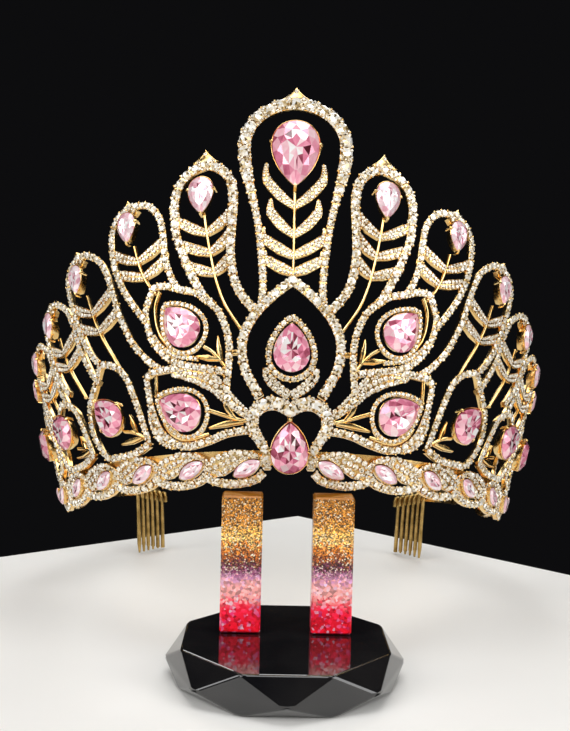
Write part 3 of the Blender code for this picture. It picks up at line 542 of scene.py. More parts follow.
def halo(bench, setting, stone, width=HALO_WIDTH):
    """The ring of small crystals round a pear, on its own raised channel."""
    length, breadth = stone.length + HALO_GAPS[0], stone.width + HALO_GAPS[1]
    inner, outer = (
        laid_down(pear_outline(length + longer, breadth + wider, HALO_CORNERS), stone)
        for longer, wider in ((0, 0), (HALO_LENGTHENING * width, 2 * width)))
    bench.add([casting_point(*a.lerp(b, share), depth)
               for a, b in zip(inner, outer) for share, depth in HALO_SECTION],
              skin(len(inner), len(HALO_SECTION), closed=True))
    middle = [a.lerp(b, 0.5) for a, b in zip(inner, outer)]
    setting.row(middle + [middle[0]], (width,), margin=0.0)


def height_on(route, height):
    """Where a stem that runs downwards passes a height."""
    for upper, lower in zip(route, route[1:]):
        if upper.y >= height >= lower.y:
            return upper.lerp(lower, (upper.y - height) / (upper.y - lower.y))
    return route[-1]


def channel(bench, setting, points, widths=(TRACK_WIDTH,), rows=1, margin=0.03,
            section=CHANNEL, lift=STONE_LIFT, start=0.5):
    """A channel along a route, filled with stones."""
    route = smooth_route(points)
    sweep(bench, route, widths, section)
    setting.row(route, widths, rows, margin, lift, start)


def wire(bench, points, widths=(STEM_WIDTH,)):
    """A plain grooved wire along a route."""
    sweep(bench, smooth_route(points), widths, WIRE)


def on_side(points, side):
    """Points on one side of the front."""
    return [(side * a, h) for a, h in points]


def mirrored_stone(stone, side):
    """A stone on the other side of the front where side is -1."""
    return stone._replace(angle=side * stone.angle, lean=side * stone.lean)


def pointed_tip(bench, setting, tip):
    """The small pavilion-shaped point on top of a feather."""
    angle, height = tip
    scale = mm_per_degree(height)
    right = [Vector((angle + x / scale, height - y)) for x, y in TIP_EDGE]
    foot = [Vector((angle + half, height - TIP_REACH)) for half in (TIP_HALF, -TIP_HALF)]
    left = [Vector((2 * angle - p.x, p.y)) for p in reversed(right)]
    outline = [Vector((angle, height))] + right + foot + left
    middle = Vector((angle, height - 0.66 * TIP_REACH))
    bench.add([casting_point(*middle.lerp(p, share), depth)
               for share, depth in TIP_SECTION for p in outline],
              skin(len(TIP_SECTION), len(outline), turned_over=True))
    for x, y, radius in TIP_STONES:
        setting.stone(angle + x / scale, height - y, radius, TIP_STONE_LIFT)


def feather(bench, setting, plan, side, widths=(TRACK_WIDTH,)):
    """One feather: its loop, tip, stem, barbs and the cup of its stone."""
    near, far, stem = (on_side(points, side) for points in (plan.near, plan.far, plan.stem))
    setting.stone(*near[0], widths[0] / 2 * ROW_STEP)
    channel(bench, setting, near, widths, start=1)
    channel(bench, setting, far, widths, start=1)
    pointed_tip(bench, setting, (side * plan.tip[0], plan.tip[1]))
    wire(bench, stem)
    for barb in plan.barbs:
        root = height_on(smooth_route(stem), barb.root)
        for end in on_side((barb.near_tip, barb.far_tip), side):
            bend = [(root.x + a * (end[0] - root.x), root.y + b * (end[1] - root.y))
                    for a, b in LEAF_BEND]
            channel(bench, setting, [root] + bend + [end], LEAF_WIDTHS, 2, 0.12, TRAY,
                    LEAF_STONE_LIFT)
    mount(bench, mirrored_stone(plan.stone, side), pear_outline, TRACK_TOP, FEATHER_CLAWS)


def border_stone(number):
    """The marquise in one scallop."""
    return MARQUISE._replace(name="%s_%d" % (MARQUISE.name, number + 1),
                             angle=SCALLOP_START + SCALLOP_PITCH * number + MARQUISE.angle)


def scallop(bench, setting, number, side):
    """One scallop of the border: its hanging arc, the leaf over it and the marquise's cup."""
    start = SCALLOP_START + SCALLOP_PITCH * number
    for points, widths, rows in ((SCALLOP_ARC, (SCALLOP_WIDTH,), 1),
                                 (SCALLOP_LEAF, SCALLOP_LEAF_WIDTHS, 0)):
        channel(bench, setting, [(side * (start + a), h) for a, h in points], widths, rows)
    mount(bench, mirrored_stone(border_stone(number), side), marquise_outline, TRACK_TOP)


def new_material(name, values):
    """A material, with the plain values of its Principled shader set, and its node tree."""
    material = bpy.data.materials.new(name)
    material.use_nodes = True
    tree = material.node_tree
    for socket, value in values.items():
        tree.nodes["Principled BSDF"].inputs[socket].default_value = value
    return material, tree


def feed(tree, socket, source):
    """Lead a colour, a share or a slope to a socket of the shader."""
    tree.links.new(source, tree.nodes["Principled BSDF"].inputs[socket])


def ramp(tree, source, stops):
    """A colour ramp fed by a socket; the stops are (place, colour or grey)."""
    node = tree.nodes.new("ShaderNodeValToRGB")
    while len(node.color_ramp.elements) < len(stops):
        node.color_ramp.elements.new(0.5)
    for element, (place, tone) in zip(node.color_ramp.elements, stops):
        element.position = place
        element.color = (*tone, 1) if isinstance(tone, tuple) else (tone, tone, tone, 1)
    tree.links.new(source, node.inputs["Fac"])
    return node.outputs["Color"]


def pattern(tree, kind, **values):
    """A texture fixed to the object, at a scale in waves per metre."""
    places = tree.nodes.new("ShaderNodeTexCoord")
    texture = tree.nodes.new(kind)
    for socket, value in values.items():
        texture.inputs[socket].default_value = value
    tree.links.new(places.outputs["Object"], texture.inputs["Vector"])
    return texture


def grain(tree, scale, detail=3.0):
    """Soft noise over the surface."""
    return pattern(tree, "ShaderNodeTexNoise", Scale=scale, Detail=detail).outputs["Fac"]


def bump(tree, source, distance, strength):
    """Raise the surface a little by a socket."""
    node = tree.nodes.new("ShaderNodeBump")
    node.inputs["Distance"].default_value = distance
    node.inputs["Strength"].default_value = strength
    tree.links.new(source, node.inputs["Height"])
    feed(tree, "Normal", node.outputs["Normal"])


def painted_glint_of(tree):
    """The painted glint of each facet: a share that picks its painted reflection colour."""
    mark = tree.nodes.new("ShaderNodeAttribute")
    mark.attribute_name = "painted_glint"
    return mark.outputs["Fac"]


def plated_metal(name, light, deep, smooth, rough, wear_scale):
    """Plated metal: its colour and polish drift a little, and its surface ripples."""
    material, tree = new_material(name, {"Metallic": 1.0})
    feed(tree, "Base Color", ramp(tree, grain(tree, wear_scale), ((0.35, deep), (0.62, light))))
    feed(tree, "Roughness",
         ramp(tree, grain(tree, wear_scale * 2.3, 5.0), ((0.3, smooth), (0.75, rough))))
    bump(tree, grain(tree, scale=900, detail=2.0), distance=0.00004, strength=0.35)
    return material


def small_crystal(name):
    """Foil-backed crystal chips: each facet's colour is a painted reflection, from dark gold-brown
    through cream to white, picked by its painted glint.
    """
    material, tree = new_material(name, {"Metallic": 0.3, "Roughness": 0.14,
                                         "Coat Weight": 1.0, "Coat Roughness": 0.02})
    feed(tree, "Base Color", ramp(tree, painted_glint_of(tree), (
        (0.0, (0.09, 0.055, 0.015)), (0.13, (0.46, 0.3, 0.1)), (0.27, (0.8, 0.62, 0.35)),
        (0.44, (0.9, 0.8, 0.61)), (0.72, (1.0, 0.96, 0.87)), (1.0, (1.0, 1.0, 0.97)))))
    return material


CASTING_SLOTS = ("cast_gold", "cast_gold", "pale_crystal")
gilt = plated_metal("cast_gilt", light=(0.97, 0.72, 0.33), deep=(0.88, 0.52, 0.16),
                    smooth=0.14, rough=0.3, wear_scale=260)
crystal = small_crystal("clear_chip")


def casting_objects(work, setting, word):
    """The objects of one casting: its metal, its beads and its crystals."""
    setting.fill()
    return (work.make("%s_casting" % word, gilt),
            setting.beads.make("%s_beads" % word, gilt, 60),
            setting.crystals.make("%s_crystals" % word, crystal, 1))


work, setting = Bench(), Setting()
feather(work, setting, CENTRE_FEATHER, 1, CENTRE_LOOP_WIDTHS)
for side, word in SIDES:
    for points, widths in ((HEART_TRACK, HEART_WIDTHS), (ONION_TRACK, (ONION_WIDTH,))):
        setting.stone(*points[0], widths[0] / 2)
        channel(work, setting, on_side(points, side), widths, start=1)
    feather(work, setting, FIRST_FEATHER, side, FIRST_LOOP_WIDTHS)
    feather(work, setting, SECOND_FEATHER, side)
    for stone in (UPPER_EYE_STONE, LOWER_EYE_STONE):
        placed = mirrored_stone(stone, side)
        halo(work, setting, placed, EYE_HALO_WIDTH)
        mount(work, placed, pear_outline, SEAT_TOP, rim=HALOED_RIM)
    for points, widths, rows in CENTRE_CHANNELS:
        channel(work, setting, on_side(points, side), widths, rows)
    for points, widths in CENTRE_WIRES:
        wire(work, on_side(points, side), widths)
    for number in range(SEAM_SCALLOP):
        scallop(work, setting, number, side)
halo(work, setting, ONION_STONE)
mount(work, ONION_STONE, pear_outline, SEAT_TOP, rim=HALOED_RIM)
wire(work, HEART_CUSP, (LINK_WIDTH,))
mount(work, HEART_STONE, pear_outline, TRACK_TOP, PEAR_CLAWS)

pieces = casting_objects(work, setting, "centre")
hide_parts("centre_panel")
for piece, finish in zip(pieces, CASTING_SLOTS):
    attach(piece, "root")


# The two side castings: four more feathers, each shorter than the last, four pear frames and
# the rest of the scalloped border. They are cast like the centre and butt against its edges.

THIRD_FEATHER = Feather(
    (45.3, 63.3),
    near=[(45, 61.2), (42, 60.6), (38.6, 57), (36.9, 52), (35.7, 46), (34.8, 40), (33.2, 34),
          (31.8, 29.8), (30.2, 26.6)],
    far=[(45, 61.2), (47.4, 58.8), (48.7, 55), (48.4, 50), (47.4, 44), (46, 37), (44, 31),
         (41.5, 26.5)],
    stem=[(43.2, 48.2), (41.7, 40), (40, 34), (37.5, 27.5), (36, 23.5)],
    barbs=[Barb(42, (36.4, 51), (48, 49)), Barb(36, (35.2, 44), (47.2, 42.5))],
    stone=Stone("feather_stone_third", 44.9, 53.6, 9.3, 6.4, 180))

FeatherCopy = namedtuple("FeatherCopy", "name turn height_share stone_share foot_height")
FEATHER_COPIES = [FeatherCopy("fourth", 11.9, 0.86, 0.96, 18.0),
                  FeatherCopy("fifth", 23.7, 0.74, 0.91, 14.0),
                  FeatherCopy("sixth", 35.4, 0.62, 0.86, 11.0)]

SIDE_STONE = Stone("side_stone", 39.8, 10, 13, 10.5, 42)
SIDE_PITCH = 17.5
SIDE_COUNT = 4
SIDE_LATER_HEIGHT = 0.72
SIDE_NEAR = [(1.2, 26), (-2.8, 24.2), (-5.3, 20.5), (-6.6, 15.5), (-7.6, 10.5), (-8.6, 4.6),
             (-9.2, 0.6)]
SIDE_FLOOR = [(-9.2, 0.6), (-5, -1.6), (0, -2), (3.4, -1.4), (5.8, 3), (6.9, 8), (6.4, 14.5),
              (3.8, 20), (1.2, 26)]
SIDE_TWIG = [(-8, 2.6), (-5.2, 4.6), (-2.6, 5.4)]
SIDE_TWIG_LEAF = [(-6, 4.2), (-5.4, 7.2), (-4.9, 9.8)]
SIDE_TWIG_BUD = [(-7.2, 2.8), (-4.4, 2.3), (-1.4, 1.8)]


def copied_feather(copy):
    """The third feather, turned round the crown and shortened."""
    lowest = THIRD_FEATHER.stem[-1][1]

    def moved(points):
        return [(a + copy.turn, copy.foot_height + (h - lowest) * copy.height_share)
                for a, h in points]

    stone = THIRD_FEATHER.stone
    tip, place = moved([THIRD_FEATHER.tip, (stone.angle, stone.height)])
    barbs = [moved([(0, barb.root), barb.near_tip, barb.far_tip])
             for barb in THIRD_FEATHER.barbs]
    return Feather(
        tip, moved(THIRD_FEATHER.near), moved(THIRD_FEATHER.far), moved(THIRD_FEATHER.stem),
        [Barb(root[1], near_tip, far_tip) for root, near_tip, far_tip in barbs],
        stone._replace(name="feather_stone_%s" % copy.name, angle=place[0], height=place[1],
                       length=stone.length * copy.stone_share,
                       width=stone.width * copy.stone_share))


def side_stone(number):
    """The pear of one side frame."""
    return SIDE_STONE._replace(name="%s_%d" % (SIDE_STONE.name, number + 1),
                               angle=SIDE_STONE.angle + SIDE_PITCH * number)


side_feathers = [THIRD_FEATHER] + [copied_feather(copy) for copy in FEATHER_COPIES]
for side, word in SIDES:
    work, setting = Bench(), Setting()
    for plan in side_feathers:
        feather(work, setting, plan, side)
    for number in range(SIDE_COUNT):
        stone = side_stone(number)
        share = 1.0 if number == 0 else SIDE_LATER_HEIGHT
        near, floor, twig, leaf, bud = (
            [(side * (stone.angle + a), h * (share if h > 0 else 1)) for a, h in points]
            for points in (SIDE_NEAR, SIDE_FLOOR, SIDE_TWIG, SIDE_TWIG_LEAF, SIDE_TWIG_BUD))
        channel(work, setting, near)
        channel(work, setting, floor)
        wire(work, twig)
        wire(work, leaf, TWIG_LEAF_WIDTHS)
        wire(work, bud, TWIG_LEAF_WIDTHS)
        mount(work, mirrored_stone(stone, side), pear_outline, TRACK_TOP, PEAR_CLAWS)
    for number in range(SEAM_SCALLOP, SCALLOP_COUNT):
        scallop(work, setting, number, side)
    pieces = casting_objects(work, setting, word)
    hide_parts("%s_panel" % word)
    for piece, finish in zip(pieces, CASTING_SLOTS):
        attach(piece, "root")


# The band: a plain strip of rolled gold-plated metal bent round behind the castings, which
# are soldered to its front. It keeps its solid from the frame and only gets its finish.

band_gilt = plated_metal("rolled_gilt", light=(0.96, 0.7, 0.32), deep=(0.87, 0.52, 0.17),
                         smooth=0.2, rough=0.36, wear_scale=120)
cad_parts["band"].material_slots[0].material = band_gilt


# The cut stones: pink glass pears and marquises with a flat table, a ring of star facets,
# kites and small girdle facets. The underside is faceted too and backed with pink foil.

# A stone's height in shares of its width, and its rings in shares of its outline.
STONE_HEIGHT = 0.24
KITE_RING = 0.83
TABLE_EDGE = 0.64
STAR_RINGS = (0.42, 0.3)
UNDER_RING = 0.5
FACES_OFF_CENTRE = -0.05
# The ranges of painted glint drawn for table facets and for all the other facets.
TABLE_PAINTED_GLINTS = (0.0, 1.0)
CROWN_PAINTED_GLINTS = (0.16, 0.72)


def cut_stone(bench, stone, make, sides, base):
    """One cut stone that sits on the base depth; every facet gets its own painted glint, which
    picks its painted reflection colour.
    """
    count = 2 * sides
    outline = make(stone.length, stone.width, count)
    lean = radians(stone.lean)
    height = stone.width * STONE_HEIGHT
    girdle = stone.width * GIRDLE_SHARE
    across, up, out = casting_axes(stone.angle, stone.height)
    centre = casting_point(stone.angle, stone.height, base)
    drop = FACES_OFF_CENTRE * stone.length

    def at(index, share, proud, shift=0.0):
        x, y = outline[index % count]
        x, y = x * share, y * share + shift
        return centre + MM * (across * (x * cos(lean) + y * sin(lean))
                              + up * (-x * sin(lean) + y * cos(lean)) + out * proud)

    rim = [at(k, 1, girdle) for k in range(count)]
    low = [at(k, 1, girdle - 0.14 * height) for k in range(count)]
    middle = [at(2 * k, KITE_RING, girdle + (height - girdle) * 0.5) for k in range(sides)]
    table = [at(2 * k + 1, TABLE_EDGE, height) for k in range(sides)]
    star = [at(2 * k, STAR_RINGS[k % 2], height - 0.12, drop) for k in range(sides)]
    under = [at(2 * k + 1, UNDER_RING, girdle - 0.62 * (base + girdle - 0.5))
             for k in range(sides)]
    ends = [at(0, 0, height - 0.16, drop), at(0, 0, 0.5 - base, drop)]
    mid, top = 2 * count, 2 * count + sides
    inner, below, last = top + sides, top + 2 * sides, top + 3 * sides
    faces, painted_glints = [], []

    def facet(tones, *face):
        faces.append(list(reversed(face)))
        painted_glints.append(SCATTER.uniform(*tones))

    for k in range(sides):
        after, before = (k + 1) % sides, (k - 1) % sides
        corner, previous = 2 * k, (2 * k - 1) % count
        facet(CROWN_PAINTED_GLINTS, top + before, mid + k, top + k)
        facet(CROWN_PAINTED_GLINTS, top + k, mid + k, corner + 1, mid + after)
        facet(CROWN_PAINTED_GLINTS, mid + k, corner, corner + 1)
        facet(CROWN_PAINTED_GLINTS, mid + k, previous, corner)
        facet(TABLE_PAINTED_GLINTS, top + before, top + k, inner + k)
        facet(TABLE_PAINTED_GLINTS, top + k, inner + after, inner + k)
        facet(TABLE_PAINTED_GLINTS, inner + k, inner + after, last)
        facet(CROWN_PAINTED_GLINTS, count + corner, below + before, below + k)
        facet(CROWN_PAINTED_GLINTS, count + corner, below + k, count + corner + 1)
        facet(CROWN_PAINTED_GLINTS, count + previous, below + before, count + corner)
        facet(CROWN_PAINTED_GLINTS, below + before, last + 1, below + k)
    for k in range(count):
        after = (k + 1) % count
        facet(CROWN_PAINTED_GLINTS, k, count + k, count + after, after)
    bench.add(rim + low + middle + table + star + under + ends, faces, painted_glints)


def drifted(tree, drift, share, value):
    """A value moved by a share of another."""
    node = tree.nodes.new("ShaderNodeMath")
    node.operation = "MULTIPLY_ADD"
    node.inputs[1].default_value = share
    tree.links.new(drift, node.inputs[0])
    tree.links.new(value, node.inputs[2])
    return node.outputs[0]


def cut_crystal(name, stops):
    """Foiled crystal: the pink is the stone's own colour, and each facet's shade of it, from dark
    maroon to white, is a painted reflection picked by its painted glint; the colour drifts a
    little through the glass."""
    material, tree = new_material(name, {"Metallic": 0.22, "Roughness": 0.12, "IOR": 1.56,
                                         "Coat Weight": 1.0, "Coat Roughness": 0.02})
    feed(tree, "Base Color",
         ramp(tree, drifted(tree, grain(tree, 520), 0.22, painted_glint_of(tree)), stops))
    return material


# Each ramp runs from a painted dark reflection through the stone's own pink to a painted white
# highlight.
glass = {
    "pink_crystal": cut_crystal("rose_crystal", (
        (0.16, (0.09, 0.012, 0.02)), (0.27, (0.34, 0.06, 0.1)), (0.38, (0.76, 0.2, 0.32)),
        (0.54, (0.93, 0.34, 0.46)), (0.72, (0.98, 0.58, 0.64)), (0.87, (1.0, 0.86, 0.85)),
        (1.0, (1.0, 0.99, 0.97)))),
    "pale_crystal": cut_crystal("blush_crystal", (
        (0.1, (0.2, 0.05, 0.08)), (0.2, (0.55, 0.22, 0.28)), (0.32, (0.88, 0.44, 0.52)),
        (0.52, (0.97, 0.62, 0.68)), (0.72, (1.0, 0.8, 0.83)), (0.88, (1.0, 0.95, 0.95)),
        (1.0, (1.0, 1.0, 1.0))))}

feather_stones = [plan.stone for plan in [FIRST_FEATHER, SECOND_FEATHER] + side_feathers]
side_stones = [side_stone(number) for number in range(SIDE_COUNT)]
border_stones = [border_stone(number) for number in range(SCALLOP_COUNT)]
for name, stones, base, finish in (
        ("centre_pear", [CENTRE_FEATHER.stone], TRACK_TOP, "pink_crystal"),
        ("onion_pear", [ONION_STONE], SEAT_TOP, "pink_crystal"),
        ("heart_pear", [HEART_STONE], TRACK_TOP, "pink_crystal"),
        ("feather_pears", feather_stones, TRACK_TOP, "pale_crystal"),
        ("upper_eye_pears", [UPPER_EYE_STONE], SEAT_TOP, "pink_crystal"),
        ("lower_eye_pears", [LOWER_EYE_STONE], SEAT_TOP, "pink_crystal"),
        ("side_pears", side_stones, TRACK_TOP, "pink_crystal"),
        ("border_marquises", border_stones, TRACK_TOP, "pale_crystal")):
    placed = {stone.name: stone for stone in stones}
    if stones[0].angle:
        placed = {"%s_%s" % (stone.name, word): mirrored_stone(stone, side)
                  for side, word in SIDES for stone in stones}
    make, sides = (marquise_outline, 8) if stones is border_stones else (pear_outline, 12)
    work = Bench()
    for stone in placed.values():
        cut_stone(work, stone, make, sides, base)
    piece = work.make(name, glass[finish], 1)
    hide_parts(*placed)
    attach(piece, "root")


# The combs: six round brass wires each, bent over at the top round a crossbar and hanging
# straight down to the table. They keep the crown in the hair, and here they prop its back.

COMB_START = 126.2
COMB_TEETH = 6
TOOTH_PITCH = 2.1
TOOTH_RADIUS = 0.85
COMB_TOP = 9.0
COMB_BEHIND = 3.25
COMB_LEAN = 0.06
BAND_BOTTOM = -9.0
# The path of a bent tooth: each drop below the comb's top, and how far inward it is.
TOOTH_BEND = ((4.6, 2.5), (2.6, 2.6), (1.2, 2.2), (0.65, 1.3), (1.0, 0.4), (2.2, 0.0),
              (5.0, -0.05), (14.0, 0.0), (24.0, 0.0))
TOOTH_END_RADII = (0.7, 0.4)
BAR_PLACE = (2.7, 1.25)
BAR_RADIUS = 0.72
BAR_OVERHANG = 0.7


def tube(bench, places, radii, sides=8):
    """A round wire through world places, with a radius in millimetres at each."""
    corners = []
    for k, place in enumerate(places):
        along = (places[min(k + 1, len(places) - 1)] - places[max(k - 1, 0)]).normalized()
        first = along.cross(Vector((0.31, 0.83, 0.46))).normalized()
        second = along.cross(first)
        radius = MM * spread(radii, k / (len(places) - 1))
        corners += [place + radius * (first * cos(j * 2 * pi / sides)
                                      + second * sin(j * 2 * pi / sides)) for j in range(sides)]
    bench.add(corners, skin(len(places), sides, turned_over=True))


def comb_place(side, angle, drop, inward=0.0):
    """A place on the comb, a drop below its top; the teeth hang straight and lean inward."""
    lean = radius_at(COMB_TOP) - radius_at(BAND_BOTTOM) + COMB_LEAN * drop
    top = crown_point(side * angle, COMB_TOP, -COMB_BEHIND - lean - inward)
    return Vector((top.x, top.y, max(top.z - MM * drop, MM * 0.1)))


comb_brass = plated_metal("comb_brass", light=(0.62, 0.42, 0.15), deep=(0.36, 0.23, 0.07),
                          smooth=0.25, rough=0.42, wear_scale=300)
for side, word in SIDES:
    work = Bench()
    for number in range(COMB_TEETH):
        angle = COMB_START + TOOTH_PITCH * number
        reach = comb_place(side, angle, 0).z / MM
        places = [comb_place(side, angle, *bend)
                  for bend in TOOTH_BEND + ((reach - 3.0,), (reach - 0.2,))]
        tube(work, places, (TOOTH_RADIUS,) * len(TOOTH_BEND) + TOOTH_END_RADII)
    bar_span = (COMB_TEETH - 1) * TOOTH_PITCH + 2 * BAR_OVERHANG
    bar = [comb_place(side, COMB_START - BAR_OVERHANG + share * bar_span, *BAR_PLACE)
           for share in (0, 0.2, 0.4, 0.6, 0.8, 1)]
    tube(work, bar, (BAR_RADIUS,))
    comb = work.make("%s_comb_wires" % word, comb_brass, 50)
    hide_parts("comb_%s" % word)
    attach(comb, "root")


# The posts: two blocks of clear resin poured in layers over glitter, gold at the top, then
# copper, purple, pink flakes and red chunks. They stand on the foot and carry the crown.

POST_LAYERS = ((0.0, (1.0, 0.005, 0.02)), (0.17, (1.0, 0.015, 0.05)), (0.22, (1.0, 0.1, 0.13)),
               (0.26, (0.94, 0.36, 0.33)), (0.36, (0.9, 0.38, 0.36)), (0.41, (0.62, 0.26, 0.42)),
               (0.46, (0.22, 0.045, 0.12)), (0.51, (0.16, 0.035, 0.03)),
               (0.56, (0.42, 0.1, 0.012)), (0.64, (0.78, 0.24, 0.02)), (0.68, (0.92, 0.6, 0.2)),
               (0.75, (0.86, 0.42, 0.08)), (0.84, (0.56, 0.2, 0.02)), (0.96, (0.5, 0.21, 0.03)),
               (1.0, (0.4, 0.14, 0.004)))
LAYER_DRIFT = 0.09
POST_ENDS = (10.8, 50.1)
# How small the flakes are, how bright each is (a painted sparkle and shade over its own tint), and
# the painted glints: white and pink specks screened over some of them.
FINE_SCALE = 3100
CHUNK_SCALE = 1250
FINE_FLAKES = ((0.0, 0.06), (0.3, 0.3), (0.55, 0.85), (0.78, (1.4, 1.3, 1.1)),
               (1.0, (2.4, 2.6, 2.6)))
CHUNK_FLAKES = ((0.0, 0.55), (0.35, 1.0), (0.7, 1.3), (1.0, (1.7, 2.2, 2.4)))
FINE_PAINTED_GLINTS = ((0.86, 0.0), (0.91, (0.5, 0.34, 0.14)), (1.0, (1.0, 0.93, 0.75)))
CHUNK_PAINTED_GLINTS = ((0.74, 0.0), (0.8, (0.3, 0.02, 0.16)), (0.92, (0.5, 0.14, 0.3)),
                (1.0, (0.9, 0.5, 0.62)))


def flakes_of(tree, scale, stops):
    """Flakes of one size: the painted brightness of each (painted sparkle and shade over its own
    tint), and the way it leans.
    """
    cells = pattern(tree, "ShaderNodeTexVoronoi", Scale=scale)
    split = tree.nodes.new("ShaderNodeSeparateColor")
    tree.links.new(cells.outputs["Color"], split.inputs[0])
    return ramp(tree, split.outputs[0], stops), split.outputs[1]


def mixed_by(tree, share, first, second, blend="MIX"):
    """Two colours mixed by a socket, or by a fixed share."""
    node = tree.nodes.new("ShaderNodeMix")
    node.data_type = "RGBA"
    node.blend_type = blend
    if isinstance(share, float):
        node.inputs["Factor"].default_value = share
    else:
        tree.links.new(share, node.inputs["Factor"])
    tree.links.new(first, node.inputs["A"])
    tree.links.new(second, node.inputs["B"])
    return node.outputs["Result"]


def glitter(name):
    """Flakes in clear resin, fine above and in chunks below: every flake has its own tint and a
    painted brightness, and some carry painted glints.
    """
    material, tree = new_material(name, {
        "Metallic": 0.25, "Roughness": 0.4, "Specular IOR Level": 0.25, "Coat Weight": 0.5,
        "Coat Roughness": 0.03})
    places = tree.nodes.new("ShaderNodeTexCoord")
    split = tree.nodes.new("ShaderNodeSeparateXYZ")
    tree.links.new(places.outputs["Object"], split.inputs[0])
    height = tree.nodes.new("ShaderNodeMapRange")
    height.inputs["From Min"].default_value = MM * POST_ENDS[0]
    height.inputs["From Max"].default_value = MM * POST_ENDS[1]
    tree.links.new(split.outputs["Z"], height.inputs["Value"])
    level = height.outputs["Result"]
    fine, fine_lean = flakes_of(tree, FINE_SCALE, FINE_FLAKES)
    chunks, chunk_lean = flakes_of(tree, CHUNK_SCALE, CHUNK_FLAKES)
    fine_painted_glints = ramp(tree, fine_lean, FINE_PAINTED_GLINTS)
    chunk_painted_glints = ramp(tree, chunk_lean, CHUNK_PAINTED_GLINTS)
    colour = ramp(tree, drifted(tree, chunk_lean, LAYER_DRIFT, level),
                  [(min(place + LAYER_DRIFT / 2, 1.0), tone) for place, tone in POST_LAYERS])
    depth = ramp(tree, level, ((0.38, 0.0), (0.48, 1.0)))
    plain = ramp(tree, level, ((0.985, 0.0), (0.993, 1.0)))
    # Painted sparkle: each flake's colour is multiplied by its painted brightness, and painted
    # glints are screened over it.
    painted_sparkle = mixed_by(tree, depth, chunks, fine)
    painted_glints = mixed_by(tree, depth, chunk_painted_glints, fine_painted_glints)
    painted_lit = mixed_by(tree, 1.0, colour, painted_sparkle, "MULTIPLY")
    with_painted_glints = mixed_by(tree, 1.0, painted_lit, painted_glints, "SCREEN")
    feed(tree, "Base Color", mixed_by(tree, plain, with_painted_glints, colour))
    bump(tree, fine_lean, distance=0.00015, strength=0.6)
    return material


post_resin = glitter("layered_glitter")
for side, word in SIDES:
    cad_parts["stand_post_%s" % word].material_slots[0].material = post_resin


# The foot: a block of black resin cast in a faceted octagonal mould and polished, with soft
# edges where the mould's facets meet.

# Each ring of corners: radius, height, and the turn in eighths of a circle.
FOOT_RINGS = ((31.5, 0.0, 0.5), (34.2, 4.2, 0.0), (30.7, 10.5, 0.5))
FOOT_SOFTNESS = 0.5

# Polished black resin with a faint haze of dust and fine scratches.
black_resin, tree = new_material("polished_black", {"Coat Weight": 0.6})
feed(tree, "Base Color", ramp(tree, grain(tree, 60), ((0.3, (0.004, 0.004, 0.005)),
                                                      (0.8, (0.014, 0.013, 0.013)))))
feed(tree, "Roughness", ramp(tree, grain(tree, 220, 6.0), ((0.35, 0.03), (0.8, 0.13))))

foot = bmesh.new()
rings = []
for radius, height, turn in FOOT_RINGS:
    rings.append([foot.verts.new(MM * Vector((radius * cos((k + turn) * pi / 4),
                                              radius * sin((k + turn) * pi / 4), height)))
                  for k in range(8)])
sole, girdle, brim = rings
foot.faces.new(list(reversed(sole)))
foot.faces.new(brim)
for k in range(8):
    after = (k + 1) % 8
    for ring in (sole, brim):
        foot.faces.new([girdle[k], girdle[after], ring[k]])
        foot.faces.new([girdle[after], ring[after], ring[k]])
bmesh.ops.recalc_face_normals(foot, faces=foot.faces)
bmesh.ops.bevel(foot, geom=list(foot.edges), offset=MM * FOOT_SOFTNESS, segments=3, profile=0.5,
                affect="EDGES")
foot_mesh = bpy.data.meshes.new("faceted_foot")
foot.to_mesh(foot_mesh)
foot.free()
foot_mesh.materials.append(black_resin)
foot_mesh.shade_flat()
faceted_foot = new_object("faceted_foot", foot_mesh)
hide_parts("stand_base")
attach(faceted_foot, "root")


# The table and the light: a plain pale table top that ends behind the crown, large soft lamps
# to both sides, in front and above, and a dim room behind. The camera stands where the
# photographer stood.

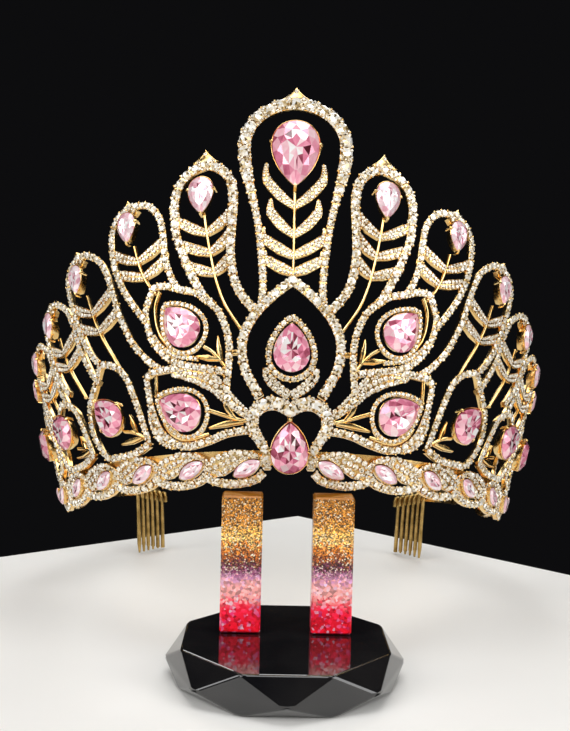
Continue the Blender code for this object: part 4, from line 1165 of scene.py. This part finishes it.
# The table top's corners; the far one is behind the crown.
TABLE_CORNERS = ((0.01, 0.205), (-0.52, -0.17), (-0.3, -0.62), (0.3, -0.62), (0.52, -0.265))
TABLE_HEIGHT_MM = -0.4

table_paint, tree = new_material("pale_table", {"Roughness": 0.55})
feed(tree, "Base Color", ramp(tree, grain(tree, 6, 4.0), ((0.3, (0.82, 0.81, 0.78)),
                                                          (0.7, (0.88, 0.87, 0.84)))))

table_mesh = bpy.data.meshes.new("table_top")
table_mesh.from_pydata([(x, y, MM * TABLE_HEIGHT_MM) for x, y in TABLE_CORNERS], [],
                       [(0, 1, 2, 3, 4)])
table_mesh.materials.append(table_paint)
table_top = new_object("table_top", table_mesh)

world = bpy.context.scene.world or bpy.data.worlds.new("studio")
bpy.context.scene.world = world
world.use_nodes = True
room = world.node_tree.nodes["Background"]
room.inputs["Color"].default_value = (0.004, 0.004, 0.0045, 1)
room.inputs["Strength"].default_value = 1.0

# Each lamp: its name, its place, what it faces, its size and its power.
for name, place, towards, size, power in (
        ("left_lamp", (-0.62, -0.42, 0.42), (0, 0.02, 0.09), (0.5, 0.6), 3.8),
        ("right_lamp", (0.66, -0.36, 0.36), (0, 0.02, 0.09), (0.4, 0.6), 2.9),
        ("front_lamp", (0.05, -0.75, 0.55), (0, 0.0, 0.1), (0.6, 0.3), 2.6),
        ("top_lamp", (0, 0.05, 0.75), (0, 0.05, 0), (0.6, 0.5), 2.8),
        ("back_lamp", (0.1, 0.7, 0.68), (0, 0.05, 0.1), (0.7, 0.3), 2.4)):
    light = bpy.data.lights.new(name, "AREA")
    light.shape = "RECTANGLE"
    light.size, light.size_y = size
    light.energy = power
    lamp = new_object(name, light)
    lamp.location = place
    lamp.rotation_euler = (Vector(towards) - Vector(place)).to_track_quat("-Z", "Y").to_euler()

bpy.context.scene.view_settings.view_transform = "Standard"

camera_data = bpy.data.cameras.new("camera")
camera_data.sensor_width = 36
camera_data.lens = 46.69
camera_data.clip_start = 0.01
camera = new_object("camera", camera_data)
camera.location = (-0.00679, -0.26318, 0.10343)
camera.rotation_euler = [radians(turn) for turn in (86.503, -1.403, -0.962)]
bpy.context.scene.camera = camera
